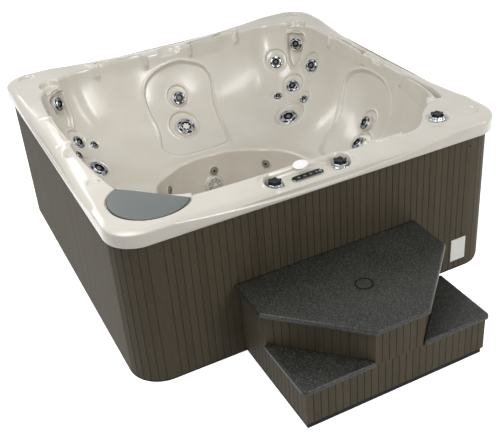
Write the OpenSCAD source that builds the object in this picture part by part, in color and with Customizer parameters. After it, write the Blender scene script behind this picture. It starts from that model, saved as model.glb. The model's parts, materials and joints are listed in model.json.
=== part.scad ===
// Square acrylic hot tub with a slatted cabinet and a two-level step that houses its equipment.
// Millimetres. Origin on the floor under the centre of the tub, steps towards -Y.

/* [Tub] */
// Width and depth of the tub across the lip
tub_w = 2130; // [2100:10:2200]
// Height of the rim above the floor
tub_h = 884; // [870:1:920]
// Height of the rim above the underside of the lip
lip_drop = 79; // [74:1:94]
// Corner radius of the lip
lip_r = 158; // [140:1:180]
// Height of the basin floor above the ground
foot_z = 55; // [45:1:70]
// Wall of the moulded shell
shell_t = 8; // [6:0.5:10]
// Height of the corner seats
corner_seat_z = 305; // [280:1:320]
// Height of the seats between the corners
side_seat_z = 340; // [325:1:360]

/* [Cabinet] */
// How far the lip overhangs the cabinet
overhang = 15; // [14:1:24]
// Corner radius of the cabinet
cab_r = 175; // [165:1:190]
// Thickness of the cabinet panels
skirt_t = 15; // [12:1:18]
// Width of one slat
slat_w = 38; // [30:1:50]
// Width of the groove between slats
groove_w = 4; // [3:0.5:6]
// Depth of the groove between slats
groove_d = 3; // [2:0.5:4]
// Thickness of the base pan
base_t = 12; // [10:1:20]
// Side of the square timbers in the frame
timber = 38; // [34:1:40]

/* [Jets] */
// Diameter of the large jets
jet_large = 122; // [110:1:126]
// Diameter of the middle jets
jet_mid = 88; // [80:1:92]
// Diameter of the small jets
jet_small = 56; // [50:1:60]
// Diameter of the round suction cover in the footwell
suction_d = 110; // [100:1:116]

/* [Rim fittings] */
// Diameter of the chrome valve knobs
knob_d = 88; // [80:1:90]
// Height of the valve knobs
knob_h = 30; // [26:1:34]
// Length of the control panel
panel_l = 172; // [165:1:180]
// Width of the control panel
panel_w = 46; // [42:1:48]
// Radius of the filter lid
lid_r = 195; // [190:1:198]
// Thickness of the filter lid
lid_t = 8; // [7:0.5:10]
// Depth of the cup holders
cup_depth = 55; // [40:1:60]
// Depth of the finger troughs behind the grab bars
trough_depth = 42; // [35:1:45]

/* [Steps] */
// Height of the upper tread
step_h = 430; // [420:1:440]
// Height of the lower treads
low_step_h = 240; // [230:1:250]
// Width of the upper tread
step_w = 1038; // [1020:2:1060]
// Distance from the cabinet to the front edge of the upper tread
step_d = 638; // [610:1:650]
// Thickness of the treads
tread_t = 28; // [25:1:32]
// Height of the black plinth under the steps
plinth_h = 32; // [28:1:36]
// Diameter of the round cap in the upper tread
cap_d = 90; // [80:1:96]

/* [Equipment] */
// Outer diameter of the main pipes
pipe_d = 60.3; // [58:0.1:63]
// Outer diameter of the pump motor
motor_d = 160; // [140:1:165]
// Outer diameter of the heater tube
heater_d = 76; // [70:1:80]
// Diameter of the inlet for the supply conduit
conduit_d = 28; // [26:1:34]
// Thread diameter of the drain spigot
drain_d = 26.4; // [24:0.1:28]

/* [Hidden] */

$fn = 64;
// Gap between pieces that rest on each other without being glued
seat_gap = 0.3;
// Radial clearance of a turning fit
run_gap = 0.08;
// Radial clearance where a piece passes through a hole
pass_gap = 1;

half = tub_w / 2;
cab = half - overhang;
inner = cab - skirt_t;
flat = cab - cab_r;
deck_z = tub_h - 14;
edge_z = deck_z - 12;
lip_z = tub_h - lip_drop;
// Distance from the middle of the tub to the outside of a rounded corner of the lip
corner_s = (half - lip_r) * sqrt(2) + lip_r;

// Round the basin every 15 degrees, from the right side anticlockwise:
// width of the rim, seat height, how far the back swells inwards, radius of the footwell
stations = [
    [100, side_seat_z, 0, 458], [108, side_seat_z - 10, 50, 452], [112, corner_seat_z + 10, 30, 448],
    [118, corner_seat_z, 0, 435], [128, corner_seat_z + 10, 50, 410], [150, side_seat_z - 5, 40, 372],
    [165, side_seat_z, 0, 360], [155, side_seat_z - 5, 40, 385], [135, corner_seat_z + 15, 40, 429],
    [160, corner_seat_z, 0, 465], [130, corner_seat_z + 5, 20, 488], [115, side_seat_z - 15, 30, 485],
    [118, side_seat_z, 10, 470], [124, side_seat_z + 5, 20, 470], [155, side_seat_z + 10, 20, 480],
    [208, side_seat_z + 15, 0, 500], [190, side_seat_z + 15, 10, 480], [185, side_seat_z + 10, 20, 450],
    [185, side_seat_z, 10, 440], [160, side_seat_z - 5, 30, 445], [144, side_seat_z - 15, 20, 470],
    [211, corner_seat_z + 10, 0, 500], [132, side_seat_z - 15, 20, 490], [100, side_seat_z, 20, 490]];

// The front tray that holds two knobs and the control panel
tray_y = 90 - half;
tray_x = [-232, 126];
tray_r = 50;
tray_z = deck_z - 32;

// The filter well, on the diagonal of the front left corner
well_s = corner_s - 235.7;
house_r = 85;
house_wall = 4;
house_bottom = deck_z - 440;
lid_s = well_s - 88;
lid_cut = well_s - house_r - 38;
lid_seat_s = lid_s + 113;
flange_r = 99;
flange_t = 3;
weir_w = 120;
weir_z = [deck_z - 118, deck_z - 48];
duct_wall = 4;
duct_s = well_s - 145;

// Knobs: middle of each, height of the surface it stands on
knob_spots = [[tray_x[0], tray_y, tray_z], [tray_x[1], tray_y, tray_z], [half - 297, 177 - half, deck_z]];
escutcheon_t = 4;
valve_r = 30;
valve_len = 110;
valve_bore = 12;

// Control panel: middle and sizes
panel_x = -55;
panel_y = tray_y;
panel_t = 6;
button_w = 16;
button_gap = 33;
button_travel = 1;

// Cup holders: [x, y, radius, depth]; troughs behind the grab bars: [x, y, length, direction]
cups = [[-7, half - 175, 68, cup_depth], [half - 105, -50, 46, cup_depth],
    [108 - half, -130, 44, cup_depth - 10], [100 - half, -500, 32, 12]];
bars = [[-330, half - 109, 250, -8], [300, half - 111, 250, 8], [half - 75, 258, 210, 91],
    [half - 91, -510, 280, 77.5], [85 - half, 110, 250, 88], [425, 110 - half, 190, -6]];
trough_w = 34;

// Jets on the seat backs: [name, angle, way down the back, diameter]
jets = [["back_upper", 91, 0.331, jet_mid], ["back_lower", 93.5, 0.596, jet_large],
    ["br_neck", 42.2, 0.115, jet_mid], ["br_left", 48.7, 0.24, jet_mid], ["br_right", 34.5, 0.223, jet_mid],
    ["br_centre", 41.2, 0.411, jet_mid], ["br_lower", 38, 0.663, jet_large],
    ["right_upper", 352, 0.412, jet_mid], ["right_lower", 346.6, 0.584, jet_mid],
    ["bl_neck", 135.1, 0.11, jet_mid], ["bl_centre", 138.1, 0.377, jet_mid],
    ["bl_lower", 146.4, 0.57, jet_large], ["fr_upper", 316, 0.35, jet_mid], ["fr_lower", 316, 0.6, jet_large]];
minis = [[46.2, 0.5, jet_small], [33.8, 0.475, jet_small], [133.6, 0.465, jet_small], [146.4, 0.4, jet_small],
    [322, 0.47, jet_small], [310, 0.47, jet_small]];
foot_spots = [[91, 0.2], [137, 0.15], [39, 0.15]];
suction_a = 93;
suction_t = 0.7;
seat_lift = 3;
flange_h = 4;
nut_t = 10;
barrel = 0.36;
stem = 0.28;
face_t = 8;
face_gap = 0.4;
tail = 45;

function fold(a) = abs((a + 45) % 90 - 45);
function square_r(a, h, rc) = let (b = fold(a), c = h - rc)
    h * tan(b) <= c ? h / cos(b)
    : let (k = c * (cos(b) + sin(b))) k + sqrt(k * k - 2 * c * c + rc * rc);
function smooth(p, q, r, s, t) =
    q + t / 2 * (r - p + t * (2 * p - 5 * q + 4 * r - s + t * (3 * (q - r) + s - p)));
function at(a, col) = let (x = (a % 360) / 15, i = floor(x), n = len(stations))
    smooth(stations[(i + n - 1) % n][col], stations[i % n][col], stations[(i + 1) % n][col],
        stations[(i + 2) % n][col], x - i);
function edge_r(a) = square_r(a, half - at(a, 0), 300);
function bezier(p, q, r, s, t) =
    pow(1 - t, 3) * p + 3 * pow(1 - t, 2) * t * q + 3 * (1 - t) * t * t * r + pow(t, 3) * s;
// Radius and height of the seat back at an angle; t runs from the rim's edge to the front of the seat
function basin(a, t) = let (e = edge_r(a), z = at(a, 1), m = at(a, 2), f = at(a, 3))
    bezier([e, edge_z], [e - 40 - m, edge_z - 0.7 * (edge_z - z)], [f + 0.5 * (e - f) - m, z], [f + 30, z], t);
// The footwell wall; t runs from the top to the bottom of its straight part
function well(a, t) = let (z = at(a, 1) - 75, f = at(a, 3) - 14)
    [f - 24 * t, z + (foot_z + 28 - z) * t];
// The crease along the lip sinks from the corners to the middle of each side
function sag(a) = pow(min(1, tan(fold(a)) * half / 770), 2);
function crease_z(a) = deck_z - 48 + 52 * sag(a);
function crest_z(a) = deck_z - 17 + 30 * sag(a);
function on_ring(a, q) = [q[0] * cos(a), q[0] * sin(a), q[1]];
function unit(v) = v / norm(v);
function shifted(p) = let (n = len(p))
    [for (i = [0 : n - 1])
        let (d = unit(p[min(i + 1, n - 1)] - p[max(i - 1, 0)])) p[i] + [-d[1], d[0]] * shell_t];

top_steps = 13;
under_steps = 6;
rail_top = lip_z + 21;
function lower_part(a, n) = let (z = at(a, 1), f = at(a, 3)) concat(
    [for (i = [0 : n]) basin(a, i / n)],
    [[f + 8, z - 6], [f - 4, z - 25], well(a, 0), well(a, 1), [f - 62, foot_z + 5], [f - 90, foot_z]]);
function top_profile(a) = let (h = square_r(a, half, lip_r), e = edge_r(a)) concat(
    [[h, lip_z], [h, crease_z(a) - 6], [h - 5, crease_z(a)], [h - 32, crest_z(a)], [h - 42, crest_z(a) + 1],
    [e + 40, deck_z], [e + 12, deck_z - 2]],
    lower_part(a, top_steps), [[at(a, 3) * 0.4, foot_z]]);
function under_profile(a) = let (h = square_r(a, half, lip_r), e = edge_r(a)) concat(
    [[h - shell_t, lip_z], [h - shell_t, crease_z(a) - 10], [h - 26, rail_top], [h - 48, rail_top],
    [h - 52, crest_z(a) - 12], [e + 34, deck_z - shell_t]],
    shifted(lower_part(a, under_steps)), [[at(a, 3) * 0.4, foot_z - shell_t]]);

module shell_body() {
    steps = 96;
    tops = [for (i = [0 : steps - 1]) top_profile(i * 360 / steps)];
    unders = [for (i = [0 : steps - 1]) under_profile(i * 360 / steps)];
    n = len(tops[0]);
    m = len(unders[0]);
    under_0 = steps * n;
    middle = under_0 + steps * m;
    points = concat(
        [for (i = [0 : steps - 1], q = tops[i]) on_ring(i * 360 / steps, q)],
        [for (i = [0 : steps - 1], q = unders[i]) on_ring(i * 360 / steps, q)],
        [[0, 0, foot_z], [0, 0, foot_z - shell_t]]);
    function up(i, j) = (i % steps) * n + j;
    function down(i, j) = under_0 + (i % steps) * m + j;
    faces = concat(
        [for (i = [0 : steps - 1], j = [0 : n - 2]) [up(i, j), up(i, j + 1), up(i + 1, j)]],
        [for (i = [0 : steps - 1], j = [0 : n - 2]) [up(i + 1, j), up(i, j + 1), up(i + 1, j + 1)]],
        [for (i = [0 : steps - 1], j = [0 : m - 2]) [down(i, j), down(i + 1, j), down(i, j + 1)]],
        [for (i = [0 : steps - 1], j = [0 : m - 2]) [down(i + 1, j), down(i + 1, j + 1), down(i, j + 1)]],
        [for (i = [0 : steps - 1]) [up(i, n - 1), middle, up(i + 1, n - 1)]],
        [for (i = [0 : steps - 1]) [down(i, m - 1), down(i + 1, m - 1), middle + 1]],
        [for (i = [0 : steps - 1]) [up(i, 0), up(i + 1, 0), down(i, 0)]],
        [for (i = [0 : steps - 1]) [down(i, 0), up(i + 1, 0), down(i + 1, 0)]]);
    polyhedron(points, faces, convexity = 8);
}

// Puts its children on a wall of the basin, with +Z pointing into the basin
module on_seat(a, t) {
    p = basin(a, t);
    d = unit(basin(a, t + 0.02) - basin(a, t - 0.02));
    translate(on_ring(a, p)) rotate([0, 0, a]) rotate([0, atan2(d[1], -d[0]), 0]) children();
}
module on_well(a, t) {
    d = unit(well(a, 1) - well(a, 0));
    translate(on_ring(a, well(a, t))) rotate([0, 0, a]) rotate([0, atan2(d[1], -d[0]), 0]) children();
}
// Puts its children at a distance along the diagonal of the front left corner, +X pointing outwards
module on_diagonal(s, z = 0) rotate([0, 0, 225]) translate([s, 0, z]) children();

module slot(length, width, depth) {
    linear_extrude(depth) {
        translate([-length / 2, -width / 2]) square([length, width]);
        for (x = [-1, 1]) translate([x * length / 2, 0]) circle(d = width);
    }
}

module jet_seat_plus(d) translate([0, 0, -14]) cylinder(d = d + 6, h = 14 + seat_lift);
module jet_seat_minus(d) {
    translate([0, 0, seat_lift]) cylinder(d = d + 10, h = 40);
    translate([0, 0, -40]) cylinder(r = barrel * d + pass_gap, h = 60);
    translate([0, 0, -40]) cylinder(d = d + 8, h = 26);
}

module shell() color([0.87, 0.84, 0.78]) difference() {
    union() {
        shell_body();
        for (j = jets) on_seat(j[1], j[2]) jet_seat_plus(j[3]);
        for (j = minis) on_seat(j[0], j[1]) jet_seat_plus(j[2]);
        for (j = foot_spots) on_well(j[0], j[1]) jet_seat_plus(jet_small);
        on_well(suction_a, suction_t) jet_seat_plus(suction_d);
        for (c = cups) translate([c[0], c[1], deck_z - c[3] - shell_t])
            cylinder(r = c[2] + shell_t, h = c[3] + 2);
        for (b = bars) bar_place(b) translate([0, 0, -trough_depth - shell_t])
            slot(b[2] - trough_w, trough_w + 2 * shell_t, trough_depth + 2);
        tray_place() translate([0, 0, -shell_t]) slot(tray_x[1] - tray_x[0], 2 * (tray_r + shell_t), shell_t);
        translate(knob_spots[2] - [0, 0, shell_t]) cylinder(d = knob_d + 20, h = shell_t);
        on_diagonal(well_s, deck_z - 2 * shell_t) cylinder(r = flange_r + 2, h = 2 * shell_t);
        on_diagonal(lid_seat_s, deck_z - shell_t) cylinder(r = lid_r - 65, h = shell_t);
    }
    for (j = jets) on_seat(j[1], j[2]) jet_seat_minus(j[3]);
    for (j = minis) on_seat(j[0], j[1]) jet_seat_minus(j[2]);
    for (j = foot_spots) on_well(j[0], j[1]) jet_seat_minus(jet_small);
    on_well(suction_a, suction_t) jet_seat_minus(suction_d);
    for (c = cups) translate([c[0], c[1], deck_z - c[3]]) cylinder(r = c[2], h = c[3] + 40);
    for (b = bars) bar_place(b) translate([0, 0, -trough_depth])
        slot(b[2] - trough_w, trough_w, trough_depth + 40);
    tray_place() slot(tray_x[1] - tray_x[0], 2 * tray_r, 80);
    translate(knob_spots[2]) cylinder(d = knob_d + 20, h = 20);
    for (k = knob_spots) translate([k[0], k[1], k[2] - 60]) cylinder(r = valve_r - 8 + pass_gap, h = 100);
    translate([panel_x - panel_l / 2 + 20, panel_y - 14, tray_z - 40]) cube([panel_l - 40, 28, 60]);
    on_diagonal(well_s, deck_z - 60) cylinder(r = house_r + pass_gap, h = 100);
    on_diagonal(lid_s, deck_z) cylinder(r = lid_r + 6, h = 40);
    on_diagonal(duct_s - 40, weir_z[0] - duct_wall - pass_gap)
        translate([0, -weir_w / 2 - duct_wall - pass_gap, 0])
            cube([120, weir_w + 2 * (duct_wall + pass_gap), weir_z[1] - weir_z[0] + 2 * (duct_wall + pass_gap)]);
}
module tray_place() translate([(tray_x[0] + tray_x[1]) / 2, tray_y, tray_z]) children();
module bar_place(b) translate([b[0], b[1], deck_z]) rotate([0, 0, b[3]]) children();

// Cabinet and frame
rail_h = 45;
pipe_x = [120, 220];
pipe_z = 125;
post_s = [-flat + timber / 2, -flat / 3, flat / 3, flat - timber / 2];
screw_z = [35, rail_top - rail_h - 25];
screw_r = 2.4;
screw_l = 34;
head_r = 4.5;
head_t = 2.6;
drain_at = [flat - 275, 90];
spigot_out = 13;
spigot_l = 12;
plate_w = 95;
plate_h = 140;
plate_at = [flat - 53, 128];
pad_r = 255;
corner_slats = round(cab_r * PI / 2 / slat_w);

module round_square(h, r, depth) linear_extrude(depth) {
    square([2 * h, 2 * (h - r)], center = true);
    square([2 * (h - r), 2 * h], center = true);
    for (x = [-1, 1], y = [-1, 1]) translate([x * (h - r), y * (h - r)]) circle(r = r);
}
module each_side() for (a = [0, 90, 180, 270]) rotate([0, 0, a]) children();
// Puts its children at the four screws of one panel, with +Z pointing inwards from its outer face
module at_screws() for (s = [post_s[0], post_s[3]], z = screw_z)
    translate([s, -cab, z]) rotate([-90, 0, 0]) children();

module base_pan() color([0.06, 0.06, 0.06]) round_square(cab - 3, cab_r - 3, base_t);
module footwell_pad() color([0.75, 0.72, 0.55])
    translate([0, 0, base_t]) cylinder(r = pad_r, h = foot_z - shell_t - seat_gap - base_t);
module bottom_rails() color([0.72, 0.58, 0.38]) each_side() difference() {
    translate([-flat, -inner, base_t]) cube([2 * flat, timber, rail_h]);
    at_screws() cylinder(r = screw_r + 0.1, h = 45);
}
module frame_posts() color([0.72, 0.58, 0.38]) each_side() for (s = post_s) difference() {
    translate([s - timber / 2, -inner, base_t + rail_h])
        cube([timber, timber, rail_top - seat_gap - base_t - 2 * rail_h]);
    at_screws() cylinder(r = screw_r + 0.1, h = 45);
}
module top_rails() color([0.72, 0.58, 0.38]) difference() {
    each_side() translate([-flat, -inner, rail_top - seat_gap - rail_h]) cube([2 * flat, timber, rail_h]);
    for (k = knob_spots) translate([k[0], k[1], 0]) cylinder(r = valve_r + 3, h = tub_h);
    for (c = cups) translate([c[0], c[1], deck_z - c[3] - shell_t - 2]) cylinder(r = c[2] + shell_t + 2, h = 99);
    for (b = bars) bar_place(b) translate([0, 0, -trough_depth - shell_t - 2])
        slot(b[2] - trough_w, trough_w + 2 * shell_t + 4, 99);
}

function left_of(u) = [-u[1], u[0]];
// Points along a slatted face from p to q, with a groove between slats
function slats(p, q) = let (n = max(1, round(norm(q - p) / slat_w)), u = unit(q - p), w = left_of(u)) concat([p],
    [for (i = [1 : 1 : n - 1], k = [-1, 0, 1])
        p + (q - p) * i / n + u * k * groove_w / 2 + w * (k == 0 ? groove_d : 0)], [q]);
module side_panel() difference() {
    translate([0, 0, base_t]) linear_extrude(lip_z + 8 - base_t)
        polygon(concat(slats([-flat, -cab], [flat, -cab]), [[flat, -inner], [-flat, -inner]]));
    at_screws() {
        translate([0, 0, -1]) cylinder(r = screw_r + 0.3, h = skirt_t + 2);
        translate([0, 0, -1]) cylinder(r = head_r + 1, h = groove_d + 0.5 + head_t + seat_gap + 1);
    }
}
module panel_hole(x, z, d) translate([x, -cab - 1, z]) rotate([-90, 0, 0])
    cylinder(d = d + 2 * pass_gap, h = skirt_t + 2);
module plate_place(depth) translate([plate_at[0], -cab + depth, plate_at[1]]) children();
module skirt_front() color([0.27, 0.26, 0.22]) difference() {
    side_panel();
    for (x = pipe_x) panel_hole(x, pipe_z, pipe_d);
    plate_place(-1) cube([plate_w + 1, 4, plate_h + 1], center = true);
}
module skirt_right() color([0.27, 0.26, 0.22]) rotate([0, 0, 90]) side_panel();
module skirt_back() color([0.27, 0.26, 0.22]) rotate([0, 0, 180]) difference() {
    side_panel();
    panel_hole(drain_at[0], drain_at[1], drain_d);
}
module skirt_left() color([0.27, 0.26, 0.22]) rotate([0, 0, 270]) side_panel();
module skirt_corners() color([0.27, 0.26, 0.22]) each_side() translate([-flat, -flat, base_t])
    linear_extrude(lip_z + 8 - base_t) difference() {
        polygon(concat([for (k = [0 : corner_slats]) corner_point(k, cab_r)],
            [for (k = [corner_slats : -1 : 0]) corner_point(k, cab_r - skirt_t)]));
        for (k = [1 : corner_slats - 1]) rotate(180 + 90 * k / corner_slats)
            polygon([[cab_r - groove_d, 0], [cab_r + 2, -groove_w], [cab_r + 2, groove_w]]);
    }
function corner_point(k, r) = let (a = 180 + 90 * k / corner_slats) r * [cos(a), sin(a)];
module skirt_screws() color([0.35, 0.35, 0.35]) each_side() at_screws() translate([0, 0, groove_d + 0.5]) {
    cylinder(r = head_r, h = head_t);
    cylinder(r = screw_r, h = screw_l);
}
module data_plate() color([0.9, 0.9, 0.88]) plate_place(0) cube([plate_w, 1.6, plate_h], center = true);

// Filter
cartridge_r = 64;
cartridge_h = 294;
cartridge_cap = 12;
pleats = 48;
weir_pin = 3;
weir_s = duct_s + 10;
weir_up = 5;
weir_l = 62;
weir_lean = 75;
drain_stub = 28;

module filter_housing() color([0.85, 0.84, 0.8]) difference() {
    union() {
        on_diagonal(well_s, house_bottom) cylinder(r = house_r, h = deck_z + seat_gap + flange_t - house_bottom);
        on_diagonal(well_s, deck_z + seat_gap) cylinder(r = flange_r, h = flange_t);
        on_diagonal(duct_s, weir_z[0] - duct_wall) translate([0, -weir_w / 2 - duct_wall, 0])
            cube([80, weir_w + 2 * duct_wall, weir_z[1] - weir_z[0] + 2 * duct_wall]);
        on_diagonal(well_s, house_bottom - 40) cylinder(r = drain_stub, h = 41);
    }
    on_diagonal(well_s, house_bottom + 6) cylinder(r = house_r - house_wall, h = tub_h);
    on_diagonal(well_s, house_bottom - 41) cylinder(r = drain_stub - house_wall, h = 60);
    on_diagonal(duct_s - 1, weir_z[0]) translate([0, -weir_w / 2, 0])
        cube([110, weir_w, weir_z[1] - weir_z[0]]);
    weir_axis() cylinder(r = weir_pin + run_gap, h = weir_w + 6, center = true);
}
module filter_cartridge() color([0.86, 0.88, 0.9]) on_diagonal(well_s, house_bottom + 6) difference() {
    union() {
        cylinder(r = cartridge_r, h = cartridge_cap);
        translate([0, 0, cartridge_cap]) linear_extrude(cartridge_h - 2 * cartridge_cap)
            polygon([for (i = [0 : 2 * pleats - 1])
                (cartridge_r - 3 - 12 * (i % 2)) * [cos(i * 180 / pleats), sin(i * 180 / pleats)]]);
        translate([0, 0, cartridge_h - cartridge_cap]) cylinder(r = cartridge_r, h = cartridge_cap);
    }
    translate([0, 0, -1]) cylinder(r = drain_stub - house_wall, h = cartridge_h + 2);
}
module filter_lid() color([0.46, 0.49, 0.49]) difference() {
    union() {
        on_diagonal(lid_s, deck_z + seat_gap) cylinder(r = lid_r, h = lid_t);
        on_diagonal(well_s, deck_z - 8) cylinder(r = house_r - house_wall - 2, h = 9);
    }
    on_diagonal(lid_cut - lid_r, deck_z - 1) translate([0, -lid_r - 10, 0]) cube([lid_r, 2 * lid_r + 20, lid_t + 4]);
    on_diagonal(well_s, deck_z - 9) cylinder(r = house_r - house_wall - 6, h = 9);
    on_diagonal(well_s, deck_z) difference() {
        cylinder(r = flange_r + 1.5, h = 2 * seat_gap + flange_t);
        translate([0, 0, -1]) cylinder(r = house_r - house_wall - 2, h = flange_t + 3);
    }
}
module weir_axis() on_diagonal(weir_s, weir_z[0] + weir_up) rotate([90, 0, 0]) children();
module weir_flap() color([0.82, 0.81, 0.77]) {
    weir_axis() cylinder(r = weir_pin, h = weir_w + 5, center = true);
    on_diagonal(weir_s, weir_z[0] + weir_up) rotate([0, weir_lean, 0])
        translate([-2, -weir_w / 2 + 2, -1]) cube([4, weir_w - 4, weir_l]);
}

// Valves and knobs
neck_r = valve_r - 8;
knob_skirt = 17;
knob_top_z = escutcheon_t + 16;
module valve_bodies() color([0.8, 0.81, 0.82]) for (k = knob_spots) translate(k) difference() {
    union() {
        translate([0, 0, seat_gap]) cylinder(d = knob_d - 4, h = escutcheon_t);
        translate([0, 0, -20]) cylinder(r = neck_r, h = 21);
        translate([0, 0, -shell_t - seat_gap - valve_len]) cylinder(r = valve_r, h = valve_len);
    }
    translate([0, 0, -60]) cylinder(r = valve_bore + run_gap, h = 80);
}
module knob() difference() {
    union() {
        translate([0, 0, escutcheon_t + 2 * seat_gap]) cylinder(d1 = knob_d, d2 = knob_d - 12, h = knob_skirt);
        translate([0, 0, knob_top_z]) cylinder(d = knob_d - 22, h = knob_h + escutcheon_t - knob_top_z);
        translate([0, 0, -54]) cylinder(r = valve_bore, h = 62);
    }
    for (i = [0 : 5]) rotate([0, 0, 60 * i]) translate([knob_d / 2 - 7, 0, escutcheon_t + knob_skirt + 1])
        cylinder(r = 9, h = knob_h);
}
module knob_left() color([0.8, 0.81, 0.82]) translate(knob_spots[0]) knob();
module knob_right() color([0.8, 0.81, 0.82]) translate(knob_spots[1]) knob();
module knob_corner() color([0.8, 0.81, 0.82]) translate(knob_spots[2]) knob();

// Control panel
panel_turn = 2;
pocket = 4;
button_clear = 0.3;
button_rise = 1.2;
badge_at = [-70, 159 - half];
badge_l = 82;
badge_w = 36;
badge_t = 3;
box_l = panel_l - 52;
box_w = 22;
box_h = 34;
module panel_place(z = 0) translate([panel_x, panel_y, tray_z + z]) rotate([0, 0, panel_turn]) children();
module topside_panel() color([0.1, 0.1, 0.11]) difference() {
    union() {
        panel_place(seat_gap) slot(panel_l - panel_w, panel_w, panel_t);
        panel_place(-box_h) translate([-box_l / 2, -box_w / 2, 0]) cube([box_l, box_w, box_h + 1]);
    }
    for (i = [0 : 3]) panel_place(seat_gap + panel_t - pocket) translate([(i - 1.5) * button_gap, 0, 0])
        cylinder(d = button_w + 2 * button_clear, h = 10);
}
module button(i) color([0.45, 0.46, 0.46]) panel_place(panel_t - pocket + button_travel + 2 * seat_gap)
    translate([(i - 1.5) * button_gap, 0, 0])
        cylinder(d = button_w, h = pocket - button_travel - seat_gap + button_rise);
module badge_plate() color([0.95, 0.95, 0.94]) translate([badge_at[0], badge_at[1], deck_z + seat_gap])
    rotate([0, 0, 4]) slot(badge_l - badge_w, badge_w, badge_t);

// Jets, in the frame of on_seat: the seat plane is at seat_lift, the back of the wall at wall_back
wall_back = -14;
neck_l = 8;
module fitting(d) difference() {
    union() {
        translate([0, 0, seat_lift + seat_gap]) cylinder(d = d, h = flange_h);
        translate([0, 0, wall_back - nut_t - neck_l])
            cylinder(r = barrel * d, h = nut_t + neck_l - wall_back + seat_lift + 1);
        translate([0, 0, -tail - 20]) cylinder(r = 0.2 * d, h = tail);
    }
    translate([0, 0, wall_back - 4]) cylinder(r = stem * d + run_gap, h = 60);
}
module nut(d) translate([0, 0, wall_back - seat_gap - nut_t]) difference() {
    cylinder(r = 0.46 * d, h = nut_t);
    translate([0, 0, -1]) cylinder(r = barrel * d + seat_gap, h = nut_t + 2);
}
module face(d) difference() {
    union() {
        translate([0, 0, seat_lift + seat_gap + flange_h + face_gap]) cylinder(r = 0.46 * d, h = face_t);
        translate([0, 0, wall_back]) cylinder(r = stem * d, h = seat_lift + flange_h + 2 - wall_back);
    }
    translate([0.09 * d, 0, wall_back - 1]) cylinder(r = 0.1 * d, h = 60);
    for (i = [0 : 5]) rotate([0, 0, 60 * i]) translate([0.52 * d, 0, seat_lift + flange_h])
        cylinder(r = 0.11 * d, h = 30);
}
module fixed_jet(d) difference() {
    union() {
        fitting(d);
        translate([0, 0, wall_back]) cylinder(r = stem * d + 1, h = seat_lift + flange_h + 6 - wall_back);
    }
    translate([0, 0, wall_back - 3]) cylinder(r = 0.12 * d, h = 60);
}
module jet_fittings() color([0.75, 0.76, 0.77]) for (j = jets) on_seat(j[1], j[2]) fitting(j[3]);
module jet_nuts() color([0.3, 0.3, 0.3]) {
    for (j = jets) on_seat(j[1], j[2]) nut(j[3]);
    on_well(suction_a, suction_t) nut(suction_d);
}
module mini_jets() color([0.75, 0.76, 0.77]) for (j = minis) on_seat(j[0], j[1]) fixed_jet(j[2]);
module footwell_jets() color([0.5, 0.5, 0.48]) for (j = foot_spots) on_well(j[0], j[1]) fixed_jet(jet_small);
module jet_face(i) color([0.75, 0.76, 0.77]) on_seat(jets[i][1], jets[i][2]) face(jets[i][3]);

suction_flange = 3;
suction_back = -59;
module suction_body() color([0.5, 0.5, 0.48]) on_well(suction_a, suction_t) difference() {
    union() {
        translate([0, 0, seat_lift + seat_gap]) cylinder(d = suction_d - 8, h = suction_flange);
        translate([0, 0, suction_back]) cylinder(r = barrel * suction_d, h = seat_lift + 1 - suction_back);
    }
    translate([0, 0, suction_back + 4]) cylinder(d = pipe_d, h = 80);
}
module suction_cover() color([0.5, 0.5, 0.48]) on_well(suction_a, suction_t)
    translate([0, 0, seat_lift + 2 * seat_gap + suction_flange]) difference() {
        cylinder(d1 = suction_d, d2 = suction_d - 24, h = 12);
        translate([0, 0, -1]) cylinder(d = suction_d - 30, h = 8);
        for (i = [0 : 7]) rotate([0, 0, 45 * i]) translate([16, -2.5, -1]) cube([24, 5, 20]);
    }

// Steps
step_y = -cab - 0.5;
cap_in = 322;
nose = 28;
low_nose = 16;
chamfer = 377;
side_x = step_w / 2 - nose;
front_y = -cab - step_d + nose;
wall_t = skirt_t;
// The slanting walls lie between the lines x - y = diag_c and x - y = diag_in
diag_c = step_w / 2 + cab + step_d - chamfer - nose * sqrt(2);
diag_in = diag_c - wall_t * sqrt(2);
turn_y = side_x - diag_c;
turn_x = diag_c + front_y;
turn_in_y = side_x - wall_t - diag_in;
turn_in_x = diag_in + front_y + wall_t;
upper_wall = step_h - tread_t - seat_gap;
lower_wall = low_step_h - tread_t - seat_gap;
mitre = 0.2;
step_posts_at = [[side_x - wall_t - timber / 2 - 1, step_y - timber / 2 - 1, upper_wall],
    [side_x - wall_t - timber / 2 - 12, turn_in_y + timber / 2 + 2, upper_wall],
    [turn_in_x - timber / 2 - 9, front_y + wall_t + timber / 2 + 3, upper_wall],
    [side_x - wall_t - timber / 2 - 1, front_y + wall_t + timber / 2 + 1, lower_wall]];
cap_y = step_y - cap_in;
cap_stem = 15;
cap_sink = 8;
batten_l = 120;
batten_x = 330;
plinth_in = 8;
plinth_ring = 40;
plinth_floor = 8;

module both_sides() for (m = [0, 1]) mirror([m, 0, 0]) children();
module prism(points, z0, z1) translate([0, 0, z0]) linear_extrude(z1 - z0) polygon(points);

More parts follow.
